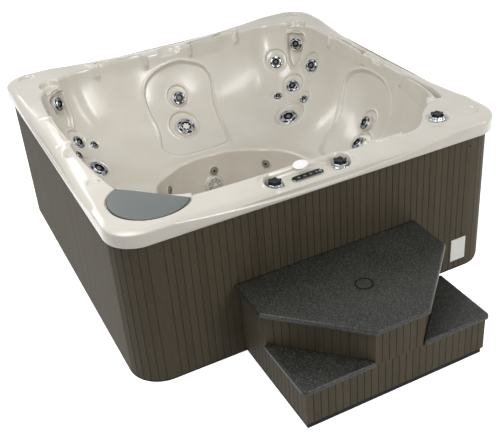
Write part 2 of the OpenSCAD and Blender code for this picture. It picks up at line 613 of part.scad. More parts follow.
module step_plinth() color([0.05, 0.05, 0.05]) difference() {
    x = side_x - plinth_in;
    y = front_y + plinth_in;
    translate([-x, y, 0]) cube([2 * x, step_y - y, plinth_h]);
    translate([-x + plinth_ring, y + plinth_ring, plinth_floor])
        cube([2 * (x - plinth_ring), step_y - y - 2 * plinth_ring, plinth_h]);
}
module step_posts() color([0.72, 0.58, 0.38]) both_sides() for (p = step_posts_at)
    translate([p[0] - timber / 2, p[1] - timber / 2, plinth_h]) cube([timber, timber, p[2] - plinth_h]);
module conduit_place() translate([side_x - wall_t / 2, step_y - 90, 90]) rotate([0, 90, 0]) children();
module step_side_walls() color([0.27, 0.26, 0.22]) difference() {
    both_sides() {
        prism(concat(slats([side_x, turn_y], [side_x, step_y]),
            [[side_x - wall_t, step_y], [side_x - wall_t, turn_in_y]]), lower_wall - 1, upper_wall);
        prism(concat(slats([side_x, front_y], [side_x, step_y]),
            [[side_x - wall_t, step_y], [side_x - wall_t, front_y + wall_t + mitre]]), plinth_h, lower_wall);
    }
    conduit_place() cylinder(d = conduit_d, h = 60, center = true);
}
module step_front_walls() color([0.27, 0.26, 0.22]) {
    low_x = side_x - mitre;
    in_x = side_x - wall_t - mitre;
    in_y = front_y + wall_t + mitre;
    a = [turn_x, front_y] + mitre * [1, 1];
    b = [side_x, turn_y] - mitre * [1, 1];
    prism(concat(slats([-low_x, front_y], [low_x, front_y]),
        [[low_x - wall_t, front_y + wall_t], [-low_x + wall_t, front_y + wall_t]]), plinth_h, lower_wall);
    prism(concat(slats([-turn_x, front_y], [turn_x, front_y]),
        [[turn_in_x, front_y + wall_t], [-turn_in_x, front_y + wall_t]]), lower_wall - 1, upper_wall);
    both_sides() {
        prism(concat(slats(a, b), [[in_x, turn_in_y - mitre], [turn_in_x + mitre, in_y]]),
            lower_wall + mitre, upper_wall);
        prism([[in_y + diag_c, in_y], [in_x, in_x - diag_c], [in_x, in_x - diag_in], [in_y + diag_in, in_y]],
            plinth_h, lower_wall + 1);
    }
}
// Outline with rounded corners, from corners [x, y, radius] listed anticlockwise
function rounded(c, n = 6) = let (m = len(c)) [for (i = [0 : m - 1])
    let (p = [c[i][0], c[i][1]], before = c[(i + m - 1) % m], after = c[(i + 1) % m],
        u = unit([before[0], before[1]] - p), v = unit([after[0], after[1]] - p), half_a = acos(u * v) / 2,
        o = p + unit(u + v) * c[i][2] / sin(half_a), s = atan2(u[0], -u[1]), sweep = 180 - 2 * half_a)
    for (k = [0 : n]) o + c[i][2] * [cos(s + sweep * k / n), sin(s + sweep * k / n)]];
module lower_treads() color([0.2, 0.21, 0.2]) both_sides()
    let (x = side_x + low_nose, y = front_y - low_nose, c = diag_c + 0.5)
        prism(rounded([[x, y, 24], [x, x - c, 6], [c + y, y, 6]]), low_step_h - tread_t, low_step_h);
module upper_tread() color([0.2, 0.21, 0.2]) {
    x = step_w / 2;
    y = -cab - step_d;
    difference() {
        prism(rounded([[-x, step_y, 8], [-x, y + chamfer, 26], [-x + chamfer, y, 26],
            [x - chamfer, y, 26], [x, y + chamfer, 26], [x, step_y, 8]]), step_h - tread_t, step_h);
        translate([0, cap_y, step_h - cap_sink]) cylinder(d = cap_d + 2 * seat_gap, h = 20);
        translate([0, cap_y, step_h - tread_t - 1]) cylinder(r = cap_stem + seat_gap, h = 60);
    }
    for (s = [-1, 1]) translate([s * batten_x - batten_l / 2, step_y - 75, step_h - tread_t - 14])
        cube([batten_l, 24, 15]);
}
module tread_cap() color([0.17, 0.18, 0.17]) translate([0, cap_y, step_h - cap_sink + seat_gap]) {
    cylinder(d = cap_d, h = cap_sink - 2 * seat_gap);
    translate([0, 0, cap_sink - tread_t]) cylinder(r = cap_stem, h = tread_t - cap_sink + 2);
}

// Equipment in the step housing, and the pipes
motor_l = 292;
pump_room = 35;
pump_at = [motor_l + pump_room + wall_t + timber + 1 - side_x, -cab - 180, pipe_z];
volute_r = 86;
volute_l = 70;
port_l = 100;
port_x = 35;
port_h = 110;
heater_at = [-25, -cab - 380, 205];
heater_l = 350;
manifold_y = 210 - cab;
suction_y = 290 - cab;
suction_x = 235 - flat;
return_z = 300;
bend_r = 37;
elbow_in = 2;
socket_t = 5;
socket_d = pipe_d + 2 * socket_t;
socket_l = 50;
manifold_l = 330;
pack_w = 230;
pack_d = 96;
pack_h = 280;
pack_y = -cab - 542;
cover_t = 8;
cover_in = 10;
module pump() color([0.25, 0.26, 0.28]) translate(pump_at) {
    translate([2 - motor_l, 0, 0]) rotate([0, 90, 0]) cylinder(d = motor_d, h = motor_l);
    rotate([0, 90, 0]) cylinder(r = volute_r, h = volute_l);
    rotate([0, 90, 0]) cylinder(d = pipe_d + 14, h = port_l);
    translate([port_x, 0, 0]) cylinder(d = pipe_d + 14, h = port_h);
    translate([-230, -60, plinth_floor - pump_at[2]]) cube([150, 120, pump_at[2] - plinth_floor - 60]);
}
module heater() color([0.75, 0.76, 0.77]) translate(heater_at) {
    rotate([0, 90, 0]) cylinder(d = heater_d, h = heater_l, center = true);
    for (s = [-1, 1]) translate([s * (heater_l / 2 - 12), 0, 0]) rotate([0, 90, 0])
        cylinder(d = heater_d + 20, h = 24, center = true);
    for (s = [-1, 1]) translate([s * 90 - 10, -20, plinth_floor - heater_at[2]])
        cube([20, 40, heater_at[2] - plinth_floor]);
}
module control_pack() color([0.62, 0.64, 0.65]) {
    translate([-pack_w / 2, pack_y, plinth_floor]) cube([pack_w, pack_d, pack_h]);
    translate([cover_in - pack_w / 2, pack_y - cover_t, plinth_floor + cover_in])
        cube([pack_w - 2 * cover_in, cover_t + 1, pack_h - 2 * cover_in]);
    for (i = [-2 : 2]) translate([i * pack_w / 6, pack_y + pack_d / 2, plinth_floor + pack_h - 2])
        cylinder(r = 9, h = 16);
}
// Angles that turn +Z to the direction u and then +X towards v
function turn_to(u, v) = let (p = acos(u[2]), a = atan2(u[1], u[0]), x = v[0] * cos(a) + v[1] * sin(a),
    y = v[1] * cos(a) - v[0] * sin(a)) [p, a, atan2(y, x * cos(p) - v[2] * sin(p))];
module facing(t) rotate([0, 0, t[1]]) rotate([0, t[0], 0]) rotate([0, 0, t[2]]) children();
// A pipe through the points, with a wider curved elbow at each turn
module pipe_run(points) {
    n = len(points) - 1;
    dirs = [for (i = [0 : n - 1]) unit(points[i + 1] - points[i])];
    bends = [for (i = [0 : n - 2]) acos(dirs[i] * dirs[i + 1])];
    ends = concat([0], [for (b = bends) bend_r * tan(b / 2) - elbow_in], [0]);
    for (i = [0 : n - 1]) translate(points[i] + dirs[i] * ends[i]) facing(turn_to(dirs[i], [0, 0, 1]))
        cylinder(d = pipe_d, h = norm(points[i + 1] - points[i]) - ends[i] - ends[i + 1]);
    for (i = [0 : n - 2]) translate(points[i + 1]) facing(turn_to(dirs[i], dirs[i + 1]))
        translate([bend_r, 0, -bend_r * tan(bends[i] / 2)]) rotate([0, 0, 180]) rotate([90, 0, 0])
            rotate_extrude(angle = bends[i]) translate([bend_r, 0]) circle(d = socket_d);
}
// A point on the axis of the suction fitting, w away from the wall
function suction_axis(w) = let (d = unit(well(suction_a, 1) - well(suction_a, 0)))
    on_ring(suction_a, well(suction_a, suction_t) + w * [d[1], -d[0]]);
module suction_pipe() color([0.93, 0.93, 0.9]) {
    back = suction_back - seat_gap;
    e = suction_axis(back - socket_l - bend_r);
    pipe_run([suction_axis(back), e, [suction_x, e[1], pipe_z], [suction_x, suction_y, pipe_z],
        [pipe_x[0], suction_y, pipe_z], [pipe_x[0], pump_at[1], pipe_z],
        [pump_at[0] + port_l + seat_gap, pump_at[1], pipe_z]]);
}
module return_pipe() color([0.93, 0.93, 0.9])
    let (x0 = pump_at[0] + port_x, x1 = heater_at[0] - heater_l / 2, x2 = heater_at[0] + heater_l / 2,
        y0 = pump_at[1], y1 = heater_at[1], xm = x1 - 60, z1 = heater_at[2], z2 = pipe_z) {
    pipe_run([[x0, y0, pump_at[2] + port_h + seat_gap], [x0, y0, return_z], [xm, y0, return_z],
        [xm, y1, return_z], [xm, y1, z1], [x1 - seat_gap, y1, z1]]);
    pipe_run([[x2 + seat_gap, y1, z1], [pipe_x[1], y1, z1], [pipe_x[1], y1, z2], [pipe_x[1], manifold_y, z2],
        [pipe_x[1] + manifold_l, manifold_y, z2]]);
    for (i = [0 : 7]) translate([pipe_x[1] + 60 + 34 * i, manifold_y, z2]) cylinder(r = 9, h = pipe_d / 2 + 26);
    for (i = [0, 1]) translate([pipe_x[1] + 71 + 204 * i, manifold_y - 25, base_t]) cube([12, 50, z2 - base_t]);
}
module drain_spigot() color([0.12, 0.12, 0.12]) rotate([0, 0, 180]) translate([drain_at[0], -cab, drain_at[1]])
    rotate([-90, 0, 0]) {
        translate([0, 0, -spigot_out]) cylinder(d = drain_d, h = spigot_l);
        translate([0, 0, spigot_l - spigot_out - 1]) cylinder(d = drain_d - 3, h = 45);
        translate([0, 0, skirt_t]) cylinder(d = drain_d + 20, h = 8);
    }

base_pan();
footwell_pad();
bottom_rails();
frame_posts();
top_rails();
skirt_front();
skirt_left();
skirt_back();
skirt_right();
skirt_corners();
skirt_screws();
data_plate();
shell();
filter_housing();
filter_cartridge();
filter_lid();
weir_flap();
valve_bodies();
knob_left();
knob_right();
knob_corner();
topside_panel();
button(0);  // button_1
button(1);  // button_2
button(2);  // button_3
button(3);  // button_4
badge_plate();
jet_fittings();
jet_nuts();
mini_jets();
footwell_jets();
suction_cover();
suction_body();
jet_face(0);  // jet_back_upper
jet_face(1);  // jet_back_lower
jet_face(2);  // jet_br_neck
jet_face(3);  // jet_br_left
jet_face(4);  // jet_br_right
jet_face(5);  // jet_br_centre
jet_face(6);  // jet_br_lower
jet_face(7);  // jet_right_upper
jet_face(8);  // jet_right_lower
jet_face(9);  // jet_bl_neck
jet_face(10);  // jet_bl_centre
jet_face(11);  // jet_bl_lower
jet_face(12);  // jet_fr_upper
jet_face(13);  // jet_fr_lower
step_plinth();
step_posts();
step_side_walls();
step_front_walls();
lower_treads();
upper_tread();
tread_cap();
pump();
heater();
control_pack();
suction_pipe();
return_pipe();
drain_spigot();
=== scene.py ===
"""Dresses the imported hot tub: its moulded shell and fittings, the slatted cabinet and the two-level step."""

import json
import math

import bpy
import numpy as np
from mathutils import Matrix, Vector


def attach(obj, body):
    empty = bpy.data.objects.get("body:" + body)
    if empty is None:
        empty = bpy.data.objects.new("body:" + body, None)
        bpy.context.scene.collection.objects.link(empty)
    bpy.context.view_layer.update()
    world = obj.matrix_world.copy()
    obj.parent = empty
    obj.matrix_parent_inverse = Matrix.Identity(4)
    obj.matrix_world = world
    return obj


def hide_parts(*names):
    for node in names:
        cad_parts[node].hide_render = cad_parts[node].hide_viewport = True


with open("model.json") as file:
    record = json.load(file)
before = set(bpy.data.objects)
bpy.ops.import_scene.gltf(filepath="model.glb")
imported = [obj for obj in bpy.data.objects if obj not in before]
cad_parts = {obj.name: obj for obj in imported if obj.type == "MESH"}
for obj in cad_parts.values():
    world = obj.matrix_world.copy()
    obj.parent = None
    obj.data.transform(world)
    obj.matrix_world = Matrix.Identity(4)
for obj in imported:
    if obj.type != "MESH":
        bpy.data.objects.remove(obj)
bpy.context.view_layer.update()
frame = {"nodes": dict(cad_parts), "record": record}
NODES = frame["nodes"]
MM = 0.001

# Driving sizes of the shell, in millimetres, as in the model's own source
HALF = 1065.0
CAB = 1050.0
DECK = 870.0
LIP = 805.0
LIP_R = 158.0
EDGE = DECK - 12
EDGE_CORNER = 300.0
FLOOR = 55.0
WALL = 8.0
SIDE_SEAT = 340.0
CORNER_SEAT = 305.0
BACK_TOP, BACK_FALL, SEAT_NOSE = 40.0, 0.7, 30.0
WELL_DROP, WELL_IN, WELL_LEAN, WELL_FOOT = 75.0, 14.0, 24.0, 28.0
CREASE, CREASE_RISE, CREST, CREST_RISE, SAG_RUN = 48.0, 52.0, 17.0, 30.0, 770.0
# Every 15 degrees from the right side, anticlockwise: rim width, seat height, back swell, footwell radius
STATIONS = np.array([
    [100, SIDE_SEAT, 0, 458], [108, SIDE_SEAT - 10, 50, 452], [112, CORNER_SEAT + 10, 30, 448],
    [118, CORNER_SEAT, 0, 435], [128, CORNER_SEAT + 10, 50, 410], [150, SIDE_SEAT - 5, 40, 372],
    [165, SIDE_SEAT, 0, 360], [155, SIDE_SEAT - 5, 40, 385], [135, CORNER_SEAT + 15, 40, 429],
    [160, CORNER_SEAT, 0, 465], [130, CORNER_SEAT + 5, 20, 488], [115, SIDE_SEAT - 15, 30, 485],
    [118, SIDE_SEAT, 10, 470], [124, SIDE_SEAT + 5, 20, 470], [155, SIDE_SEAT + 10, 20, 480],
    [208, SIDE_SEAT + 15, 0, 500], [190, SIDE_SEAT + 15, 10, 480], [185, SIDE_SEAT + 10, 20, 450],
    [185, SIDE_SEAT, 10, 440], [160, SIDE_SEAT - 5, 30, 445], [144, SIDE_SEAT - 15, 20, 470],
    [211, CORNER_SEAT + 10, 0, 500], [132, SIDE_SEAT - 15, 20, 490], [100, SIDE_SEAT, 20, 490]], float)

# Fittings: where they sit on the shell and how large they are
JET_LARGE, JET_MID, JET_SMALL, SUCTION_D = 122.0, 88.0, 56.0, 110.0
JETS = {
    "jet_back_upper": (91, 0.331, JET_MID), "jet_back_lower": (93.5, 0.596, JET_LARGE),
    "jet_br_neck": (42.2, 0.115, JET_MID), "jet_br_left": (48.7, 0.24, JET_MID),
    "jet_br_right": (34.5, 0.223, JET_MID), "jet_br_centre": (41.2, 0.411, JET_MID),
    "jet_br_lower": (38, 0.663, JET_LARGE), "jet_right_upper": (352, 0.412, JET_MID),
    "jet_right_lower": (346.6, 0.584, JET_MID), "jet_bl_neck": (135.1, 0.11, JET_MID),
    "jet_bl_centre": (138.1, 0.377, JET_MID), "jet_bl_lower": (146.4, 0.57, JET_LARGE),
    "jet_fr_upper": (316, 0.35, JET_MID), "jet_fr_lower": (316, 0.6, JET_LARGE)}
MINIS = [(46.2, 0.5), (33.8, 0.475), (133.6, 0.465), (146.4, 0.4), (322, 0.47), (310, 0.47)]
FOOT_JETS = [(91, 0.2), (137, 0.15), (39, 0.15)]
SUCTION = (93, 0.7)
SEAT_LIFT = 3.0
TRAY_X, TRAY_Y, TRAY_R, TRAY_DROP = (-232.0, 126.0), -975.0, 50.0, 32.0
TRAY_Z = DECK - TRAY_DROP
KNOBS = {"knob_left": (TRAY_X[0], TRAY_Y, TRAY_Z), "knob_right": (TRAY_X[1], TRAY_Y, TRAY_Z),
         "knob_corner": (768.0, -888.0, DECK)}
KNOB_D = 88.0
# Cup holders: x, y, radius, depth, softness of the edge
CUPS = [(-7, 905, 66, 34, 38), (960, -50, 48, 26, 34), (-957, -130, 46, 26, 34), (-965, -500, 32, 12, 8)]
# Grab bars: height and width of the ridge, plain or ribbed, its hooked ends, and the groove for the fingers
BAR_HIGH, BAR_WIDE, GRIP_HIGH, GRIP_WIDE, RIB_WIDE, HOOK_HIGH, HOOK_WIDE = 17, 11, 19, 13, 15, 15, 12
GROOVE_W, GROOVE_DEEP, GROOVE_OFF = 26.0, 44.0, 38.0
# Filter lid on the front left diagonal: middle, straight edge, radius, thickness, and its well's middle
LID_S, LID_CUT, LID_R, LID_T, WELL_S = 1117.0, 1082.0, 195.0, 8.0, 1205.0
SEAT_GAP = 0.3
DIAGONAL = math.sqrt(0.5)


# Shape of the shell

def fold(a):
    return np.abs((a + 45) % 90 - 45)


def square_r(a, half, corner):
    """Distance from the middle to a square with round corners, at angle a."""
    b = np.radians(fold(a))
    c = half - corner
    k = c * (np.cos(b) + np.sin(b))
    round_part = k + np.sqrt(np.maximum(k * k - 2 * c * c + corner * corner, 0))
    return np.where(half * np.tan(b) <= c, half / np.cos(b), round_part)


def between(p, q, r, s, t):
    """A smooth curve through four values, at share t of the way from the second to the third."""
    return q + t / 2 * (r - p + t * (2 * p - 5 * q + 4 * r - s + t * (3 * (q - r) + s - p)))


def at(a, column):
    """A column of STATIONS at angle a, on a smooth curve through the stations."""
    x = (a % 360) / 15
    i = np.floor(x).astype(int)
    return between(*(STATIONS[(i + k) % len(STATIONS), column] for k in (-1, 0, 1, 2)), x - i)


def edge_r(a):
    return square_r(a, HALF - at(a, 0), EDGE_CORNER)


def bezier(p, q, r, s, t):
    return (1 - t) ** 3 * p + 3 * (1 - t) ** 2 * t * q + 3 * (1 - t) * t * t * r + t ** 3 * s


def basin(a, t):
    """Radius and height of the seat back at angle a; t runs from the rim's edge to the front of the seat."""
    e, z, m, f = edge_r(a), at(a, 1), at(a, 2), at(a, 3)
    r = bezier(e, e - BACK_TOP - m, f + 0.5 * (e - f) - m, f + SEAT_NOSE, t)
    return r, bezier(EDGE, EDGE - BACK_FALL * (EDGE - z), z, z, t)


def well(a, t):
    """The footwell's wall; t runs from the top to the bottom of its straight part."""
    z, f = at(a, 1) - WELL_DROP, at(a, 3) - WELL_IN
    return f - WELL_LEAN * t, z + (FLOOR + WELL_FOOT - z) * t


# Every jet as its wall, angle, place down the wall and diameter
BASIN_JETS = [(basin, *spot) for spot in JETS.values()] + [(basin, *spot, JET_SMALL) for spot in MINIS]
WELL_JETS = [(well, *spot, JET_SMALL) for spot in FOOT_JETS]


def sag(a):
    """How far the rim is raised at angle a: 0 at the middle of a side, 1 in the corners."""
    return np.minimum(1, np.tan(np.radians(fold(a))) * HALF / SAG_RUN) ** 2


def on_ring(a, r, z):
    b = np.radians(a)
    return np.stack([r * np.cos(b), r * np.sin(b), z + 0 * r], -1)


def wall_place(curve, a, t, lift=0.0):
    """Matrix of a fitting on the wall: x up the wall, y along it, z into the basin."""
    a = np.array([float(a)])
    r, z = curve(a, np.array([t - 0.02, t, t + 0.02]))
    d = np.array([r[2] - r[0], z[2] - z[0]])
    d /= np.linalg.norm(d)
    b = math.radians(a[0])
    radial, along = np.array([math.cos(b), math.sin(b), 0]), np.array([-math.sin(b), math.cos(b), 0])
    up = -d[0] * radial + np.array([0, 0, -d[1]])
    out = d[1] * radial + np.array([0, 0, -d[0]])
    place = np.eye(4)
    place[:3, 0], place[:3, 1], place[:3, 2] = up, along, out
    place[:3, 3] = on_ring(a, r, z)[1] + out * lift
    return place


def rim_place(x, y, turn=0.0, z=DECK):
    """Matrix of something on the rim, turned about its upright axis."""
    b = math.radians(turn)
    place = np.eye(4)
    place[:2, 0] = math.cos(b), math.sin(b)
    place[:2, 1] = -math.sin(b), math.cos(b)
    place[:3, 3] = x, y, z
    return place


def ease(x):
    x = np.clip(x, 0, 1)
    return x * x * (3 - 2 * x)


def bump(x, width):
    return np.exp(-(x / width) ** 2)


# Presses and swellings of the shell. Each has a place, how far it reaches along and off its plane, and a
# function that takes a point's local x, y and height and gives the change in height

FEATURES = []


def feature(place, reach, off, change):
    FEATURES.append((place, reach, off, change))


def pocket(distance, depth, soft):
    """A flat-bottomed recess; distance(x, y) is negative inside its outline."""
    def change(x, y, w):
        m = ease(0.5 - distance(x, y) / soft)
        return m * np.minimum(0, -depth - w)
    return change


def slot_distance(x, y, half_length, radius):
    return np.hypot(np.maximum(np.abs(x) - half_length, 0), y) - radius


def line_distance(x, y, points):
    """Distance to a line through points, and how far along it the nearest point lies."""
    best = np.full(x.shape, 1e9)
    along = np.zeros(x.shape)
    run = 0.0
    for (x0, y0), (x1, y1) in zip(points, points[1:]):
        length = math.hypot(x1 - x0, y1 - y0)
        s = np.clip(((x - x0) * (x1 - x0) + (y - y0) * (y1 - y0)) / length ** 2, 0, 1)
        d = np.hypot(x - x0 - s * (x1 - x0), y - y0 - s * (y1 - y0))
        along = np.where(d < best, run + s * length, along)
        best = np.minimum(best, d)
        run += length
    return best, along


def soft_curve(points, steps=8):
    """A smooth line through a few points."""
    p = np.array(points, float)
    p = np.vstack([2 * p[0] - p[1], p, 2 * p[-1] - p[-2]])
    out = []
    for i in range(1, len(p) - 2):
        out += [between(*p[i - 1:i + 3], t) for t in np.arange(steps) / steps]
    return [tuple(q) for q in out] + [tuple(p[-2])]


def add_tray():
    middle = (TRAY_X[0] + TRAY_X[1]) / 2
    half_length = (TRAY_X[1] - TRAY_X[0]) / 2
    place = rim_place(middle, TRAY_Y)

    def rise(x, y, w):
        d = slot_distance(x, y, half_length, TRAY_R)
        basin_side = ease((y + 30) / 50)
        return (4 + 9 * basin_side) * bump(d - 11, 9) - 4 * basin_side * bump(d - 27, 7)
    feature(place, half_length + 160, 80, rise)
    feature(place, half_length + 120, 90,
            pocket(lambda x, y: slot_distance(x, y, half_length, TRAY_R), TRAY_DROP, 9))


def add_rim_features():
    for x, y, r, depth, soft in CUPS:
        feature(rim_place(x, y), r + 60, 130, pocket(lambda u, v, r=r: np.hypot(u, v) - r, depth, soft))
    x, y, z = KNOBS["knob_corner"]
    pad = KNOB_D / 2 + 10

    def knob_pad(u, v, w):
        d = np.hypot(u, v)
        return -w * ease(0.5 - (d - pad) / 12) + 5 * bump(d - pad - 12, 9)
    feature(rim_place(x, y, z=z), 120, 60, knob_pad)

    def lid_seat(u, v, w):
        d = np.hypot(u, v) - LID_R
        return -w * ease(0.5 - (d - 8) / 8) - 8 * bump(d - 4.5, 4)
    feature(rim_place(-LID_S * DIAGONAL, -LID_S * DIAGONAL), LID_R + 40, 60, lid_seat)


def add_bars():
    """Grab bars: raised ridges with ends that curl down into the basin; two have finger ribs."""
    bars = [([(-500, 905), (-463, 946), (-333, 914), (-205, 912), (-172, 868)], 0, 0),
            ([(130, 862), (158, 906), (319, 914), (440, 940), (478, 905)], 0, 0),
            ([(905, 455), (944, 426), (950, 292), (946, 120), (905, 80)], 0, 0),
            ([(915, -300), (938, -340), (936, -501), (905, -665), (870, -690)], 0, 0),
            ([(-915, 345), (-950, 318), (-946, 160), (-950, 11), (-915, -20)], 4, 29),
            ([(315, -905), (349, -925), (425, -921), (497, -938), (520, -915)], 1.5, 19)]
    for points, rib, pitch in bars:
        line = soft_curve(points)
        cx, cy = np.mean([p[0] for p in line]), np.mean([p[1] for p in line])
        local = [(x - cx, y - cy) for x, y in line]
        out = np.array([np.sign(cx), 0] if abs(cx) > abs(cy) else [0, np.sign(cy)])
        groove = [tuple(np.array(p) + out * GROOVE_OFF) for p in local[7:-7]]

        def change(u, v, w, local=local, groove=groove, rib=rib, pitch=pitch):
            d, s = line_distance(u, v, local)
            if rib:
                ribs = rib * bump(d, RIB_WIDE) * np.cos(2 * math.pi * s / pitch)
                return GRIP_HIGH * bump(d, GRIP_WIDE) + ribs
            g = line_distance(u, v, groove)[0]
            return BAR_HIGH * bump(d, BAR_WIDE) - GROOVE_DEEP * ease(0.5 - (g - GROOVE_W / 2) / 12)
        feature(rim_place(cx, cy), 260, 90, change)
        for x, y in (points[0], points[-1]):
            a = math.degrees(math.atan2(y, x))

            def hook(up, along, w):
                return HOOK_HIGH * bump(along, HOOK_WIDE) * ease((up + 18) / 22)
            feature(wall_place(basin, a, 0.05), 110, 70, hook)


DISCS, DISC_R, DISC_HIGH = [(-929, 967), (945, 940), (950, -910)], 48, 2


def add_corner_discs():
    """Flat round pads that stand a little over the rim's corners."""
    for x, y in DISCS:
        feature(rim_place(x, y), 80, 60, pocket(lambda u, v: np.hypot(u, v) - DISC_R, -DISC_HIGH, 8))


def jet_dimple(d):
    """A round seat in a sunk ring that is deeper above it and has a raised lip."""
    def change(up, along, w):
        halo = np.hypot(up - 0.17 * d, along / 0.95) - 0.84 * d
        tilt = np.clip((up + 0.6 * d) / (1.7 * d), 0, 1)
        sunk = -(0.03 + 0.075 * tilt) * d * ease(0.5 - halo / (0.1 * d))
        rim = 0.03 * d * bump(halo - 0.07 * d, 0.055 * d)
        seat = ease(0.5 - (np.hypot(up, along) - 0.5 * d - 7) / 7)
        pressed = (sunk + rim) * (1 - seat)
        return pressed + seat * (SEAT_LIFT - w)
    return change


def add_jets():
    for curve, a, t, d in BASIN_JETS:
        feature(wall_place(curve, a, t), 1.4 * d, 0.6 * d, jet_dimple(d))
    for curve, a, t, d in WELL_JETS + [(well, *SUCTION, SUCTION_D)]:
        def flat(up, along, w, d=d):
            return (SEAT_LIFT - w) * ease(0.5 - (np.hypot(up, along) - d / 2 - 6) / 8)
        feature(wall_place(curve, a, t), d, 60, flat)


def closed_curve(points, steps=6):
    return soft_curve(points[-1:] + points + points[:2], steps)[steps:-steps]


def inside(x, y, loop):
    """Which points lie inside a closed line."""
    odd = np.zeros(x.shape, bool)
    for (x0, y0), (x1, y1) in zip(loop, loop[1:]):
        if y0 != y1:
            odd ^= ((y0 > y) != (y1 > y)) & (x < x0 + (y - y0) * (x1 - x0) / (y1 - y0))
    return odd


def outline_press(corners, depth, soft, ridge):
    """A recess inside a smooth outline of (height up the wall, place along it), with a crease round it."""
    loop = closed_curve(corners)

    def change(up, along, w):
        d = line_distance(up, along, loop)[0]
        d = np.where(inside(up, along, loop), -d, d)
        return -depth * ease(-d / soft) + ridge * bump(d - 2, 7)
    return change


def mirrored(outline):
    """An outline's mirror image, with its points still anticlockwise."""
    return [(up, -along) for up, along in outline[::-1]]


# Outlines of the pressed backs: height up the wall and place along it
HOURGLASS = [(292, -60), (291, 44), (266, 140), (222, 208), (160, 243), (85, 250), (9, 245), (-80, 232),
             (-160, 240), (-231, 258), (-290, 232), (-328, 168), (-340, 74), (-342, -20), (-336, -110),
             (-318, -168), (-260, -190), (-160, -198), (-20, -206), (90, -228), (164, -235), (240, -190)]
SIDE_BACK = [(-230, 96), (-160, 124), (-55, 166), (64, 211), (160, 240), (230, 206), (276, 110), (290, 0),
             (276, -120), (205, -214), (114, -255), (0, -258), (-110, -240), (-210, -190), (-280, -100),
             (-296, 10)]
# Angle round the tub, outline, and the press's depth, softness and ridge; for tongues, angle and half width
BACKS = [(89.5, HOURGLASS, (17, 15, 5)), (357.5, SIDE_BACK, (16, 18, 4)),
         (184, mirrored(SIDE_BACK), (16, 18, 4))]
TONGUES = [(42.4, 66), (135.2, 78)]
BACK_T, TONGUE, TONGUE_T = 0.42, 225, 0.055


def add_backs():
    """The large pressed shapes of the seat backs."""
    for a, outline, shape in BACKS:
        feature(wall_place(basin, a, BACK_T), 460, 260, outline_press(outline, *shape))
    for a, half in TONGUES:
        side = [(-TONGUE * share, half * math.sqrt(1 - share ** 1.7)) for share in (0.8, 0.6, 0.4, 0.2, 0)]
        tongue = [(-TONGUE, 0)] + side + [(8, half * 0.5), (8, -half * 0.5)]
        tongue += mirrored(side)
        feature(wall_place(basin, a, TONGUE_T), 300, 120, outline_press(tongue, 24, 11, 6))
        r = float(edge_r(np.array([float(a)]))[0]) - 8
        x, y = r * math.cos(math.radians(a)), r * math.sin(math.radians(a))

        def pan(u, v, half=half):
            return np.hypot(u, v) - half * 0.95
        feature(rim_place(x, y), 150, 110, pocket(pan, 44, 10))


def add_features():
    add_backs()
    add_jets()
    add_tray()
    add_rim_features()
    add_bars()
    add_corner_discs()


def press(points):
    """Moves points, an array of x, y, z, by every feature in turn."""
    for place, reach, off, change in FEATURES:
        axes, origin = place[:3, :3], place[:3, 3]
        local = (points - origin) @ axes
        near = (np.abs(local[:, 0]) < reach) & (np.abs(local[:, 1]) < reach) & (np.abs(local[:, 2]) < off)
        found = local[near]
        if len(found):
            points[near] += change(*found.T)[:, None] * axes[:, 2]
    return points


# The shell's lattice: rows run down the profile, columns run round the tub

COLUMNS = 900
SPLIT = 3
FLAT_ENOUGH = 0.3


def corner_curve(p, q, r, size, steps):
    """A rounded corner at q between p and r, as columns x points x 2."""
    u, v = p - q, r - q
    lu, lv = np.linalg.norm(u, axis=1, keepdims=True), np.linalg.norm(v, axis=1, keepdims=True)
    c = np.minimum(size, 0.45 * np.minimum(lu, lv))
    a, b = q + u / lu * c, q + v / lv * c
    t = (np.arange(steps + 1) / steps)[None, :, None]
    return (1 - t) ** 2 * a[:, None] + 2 * (1 - t) * t * q[:, None] + t * t * b[:, None]


def straight(a, b, steps):
    t = (np.arange(steps + 1) / steps)[None, :, None]
    return a[:, None] * (1 - t) + b[:, None] * t


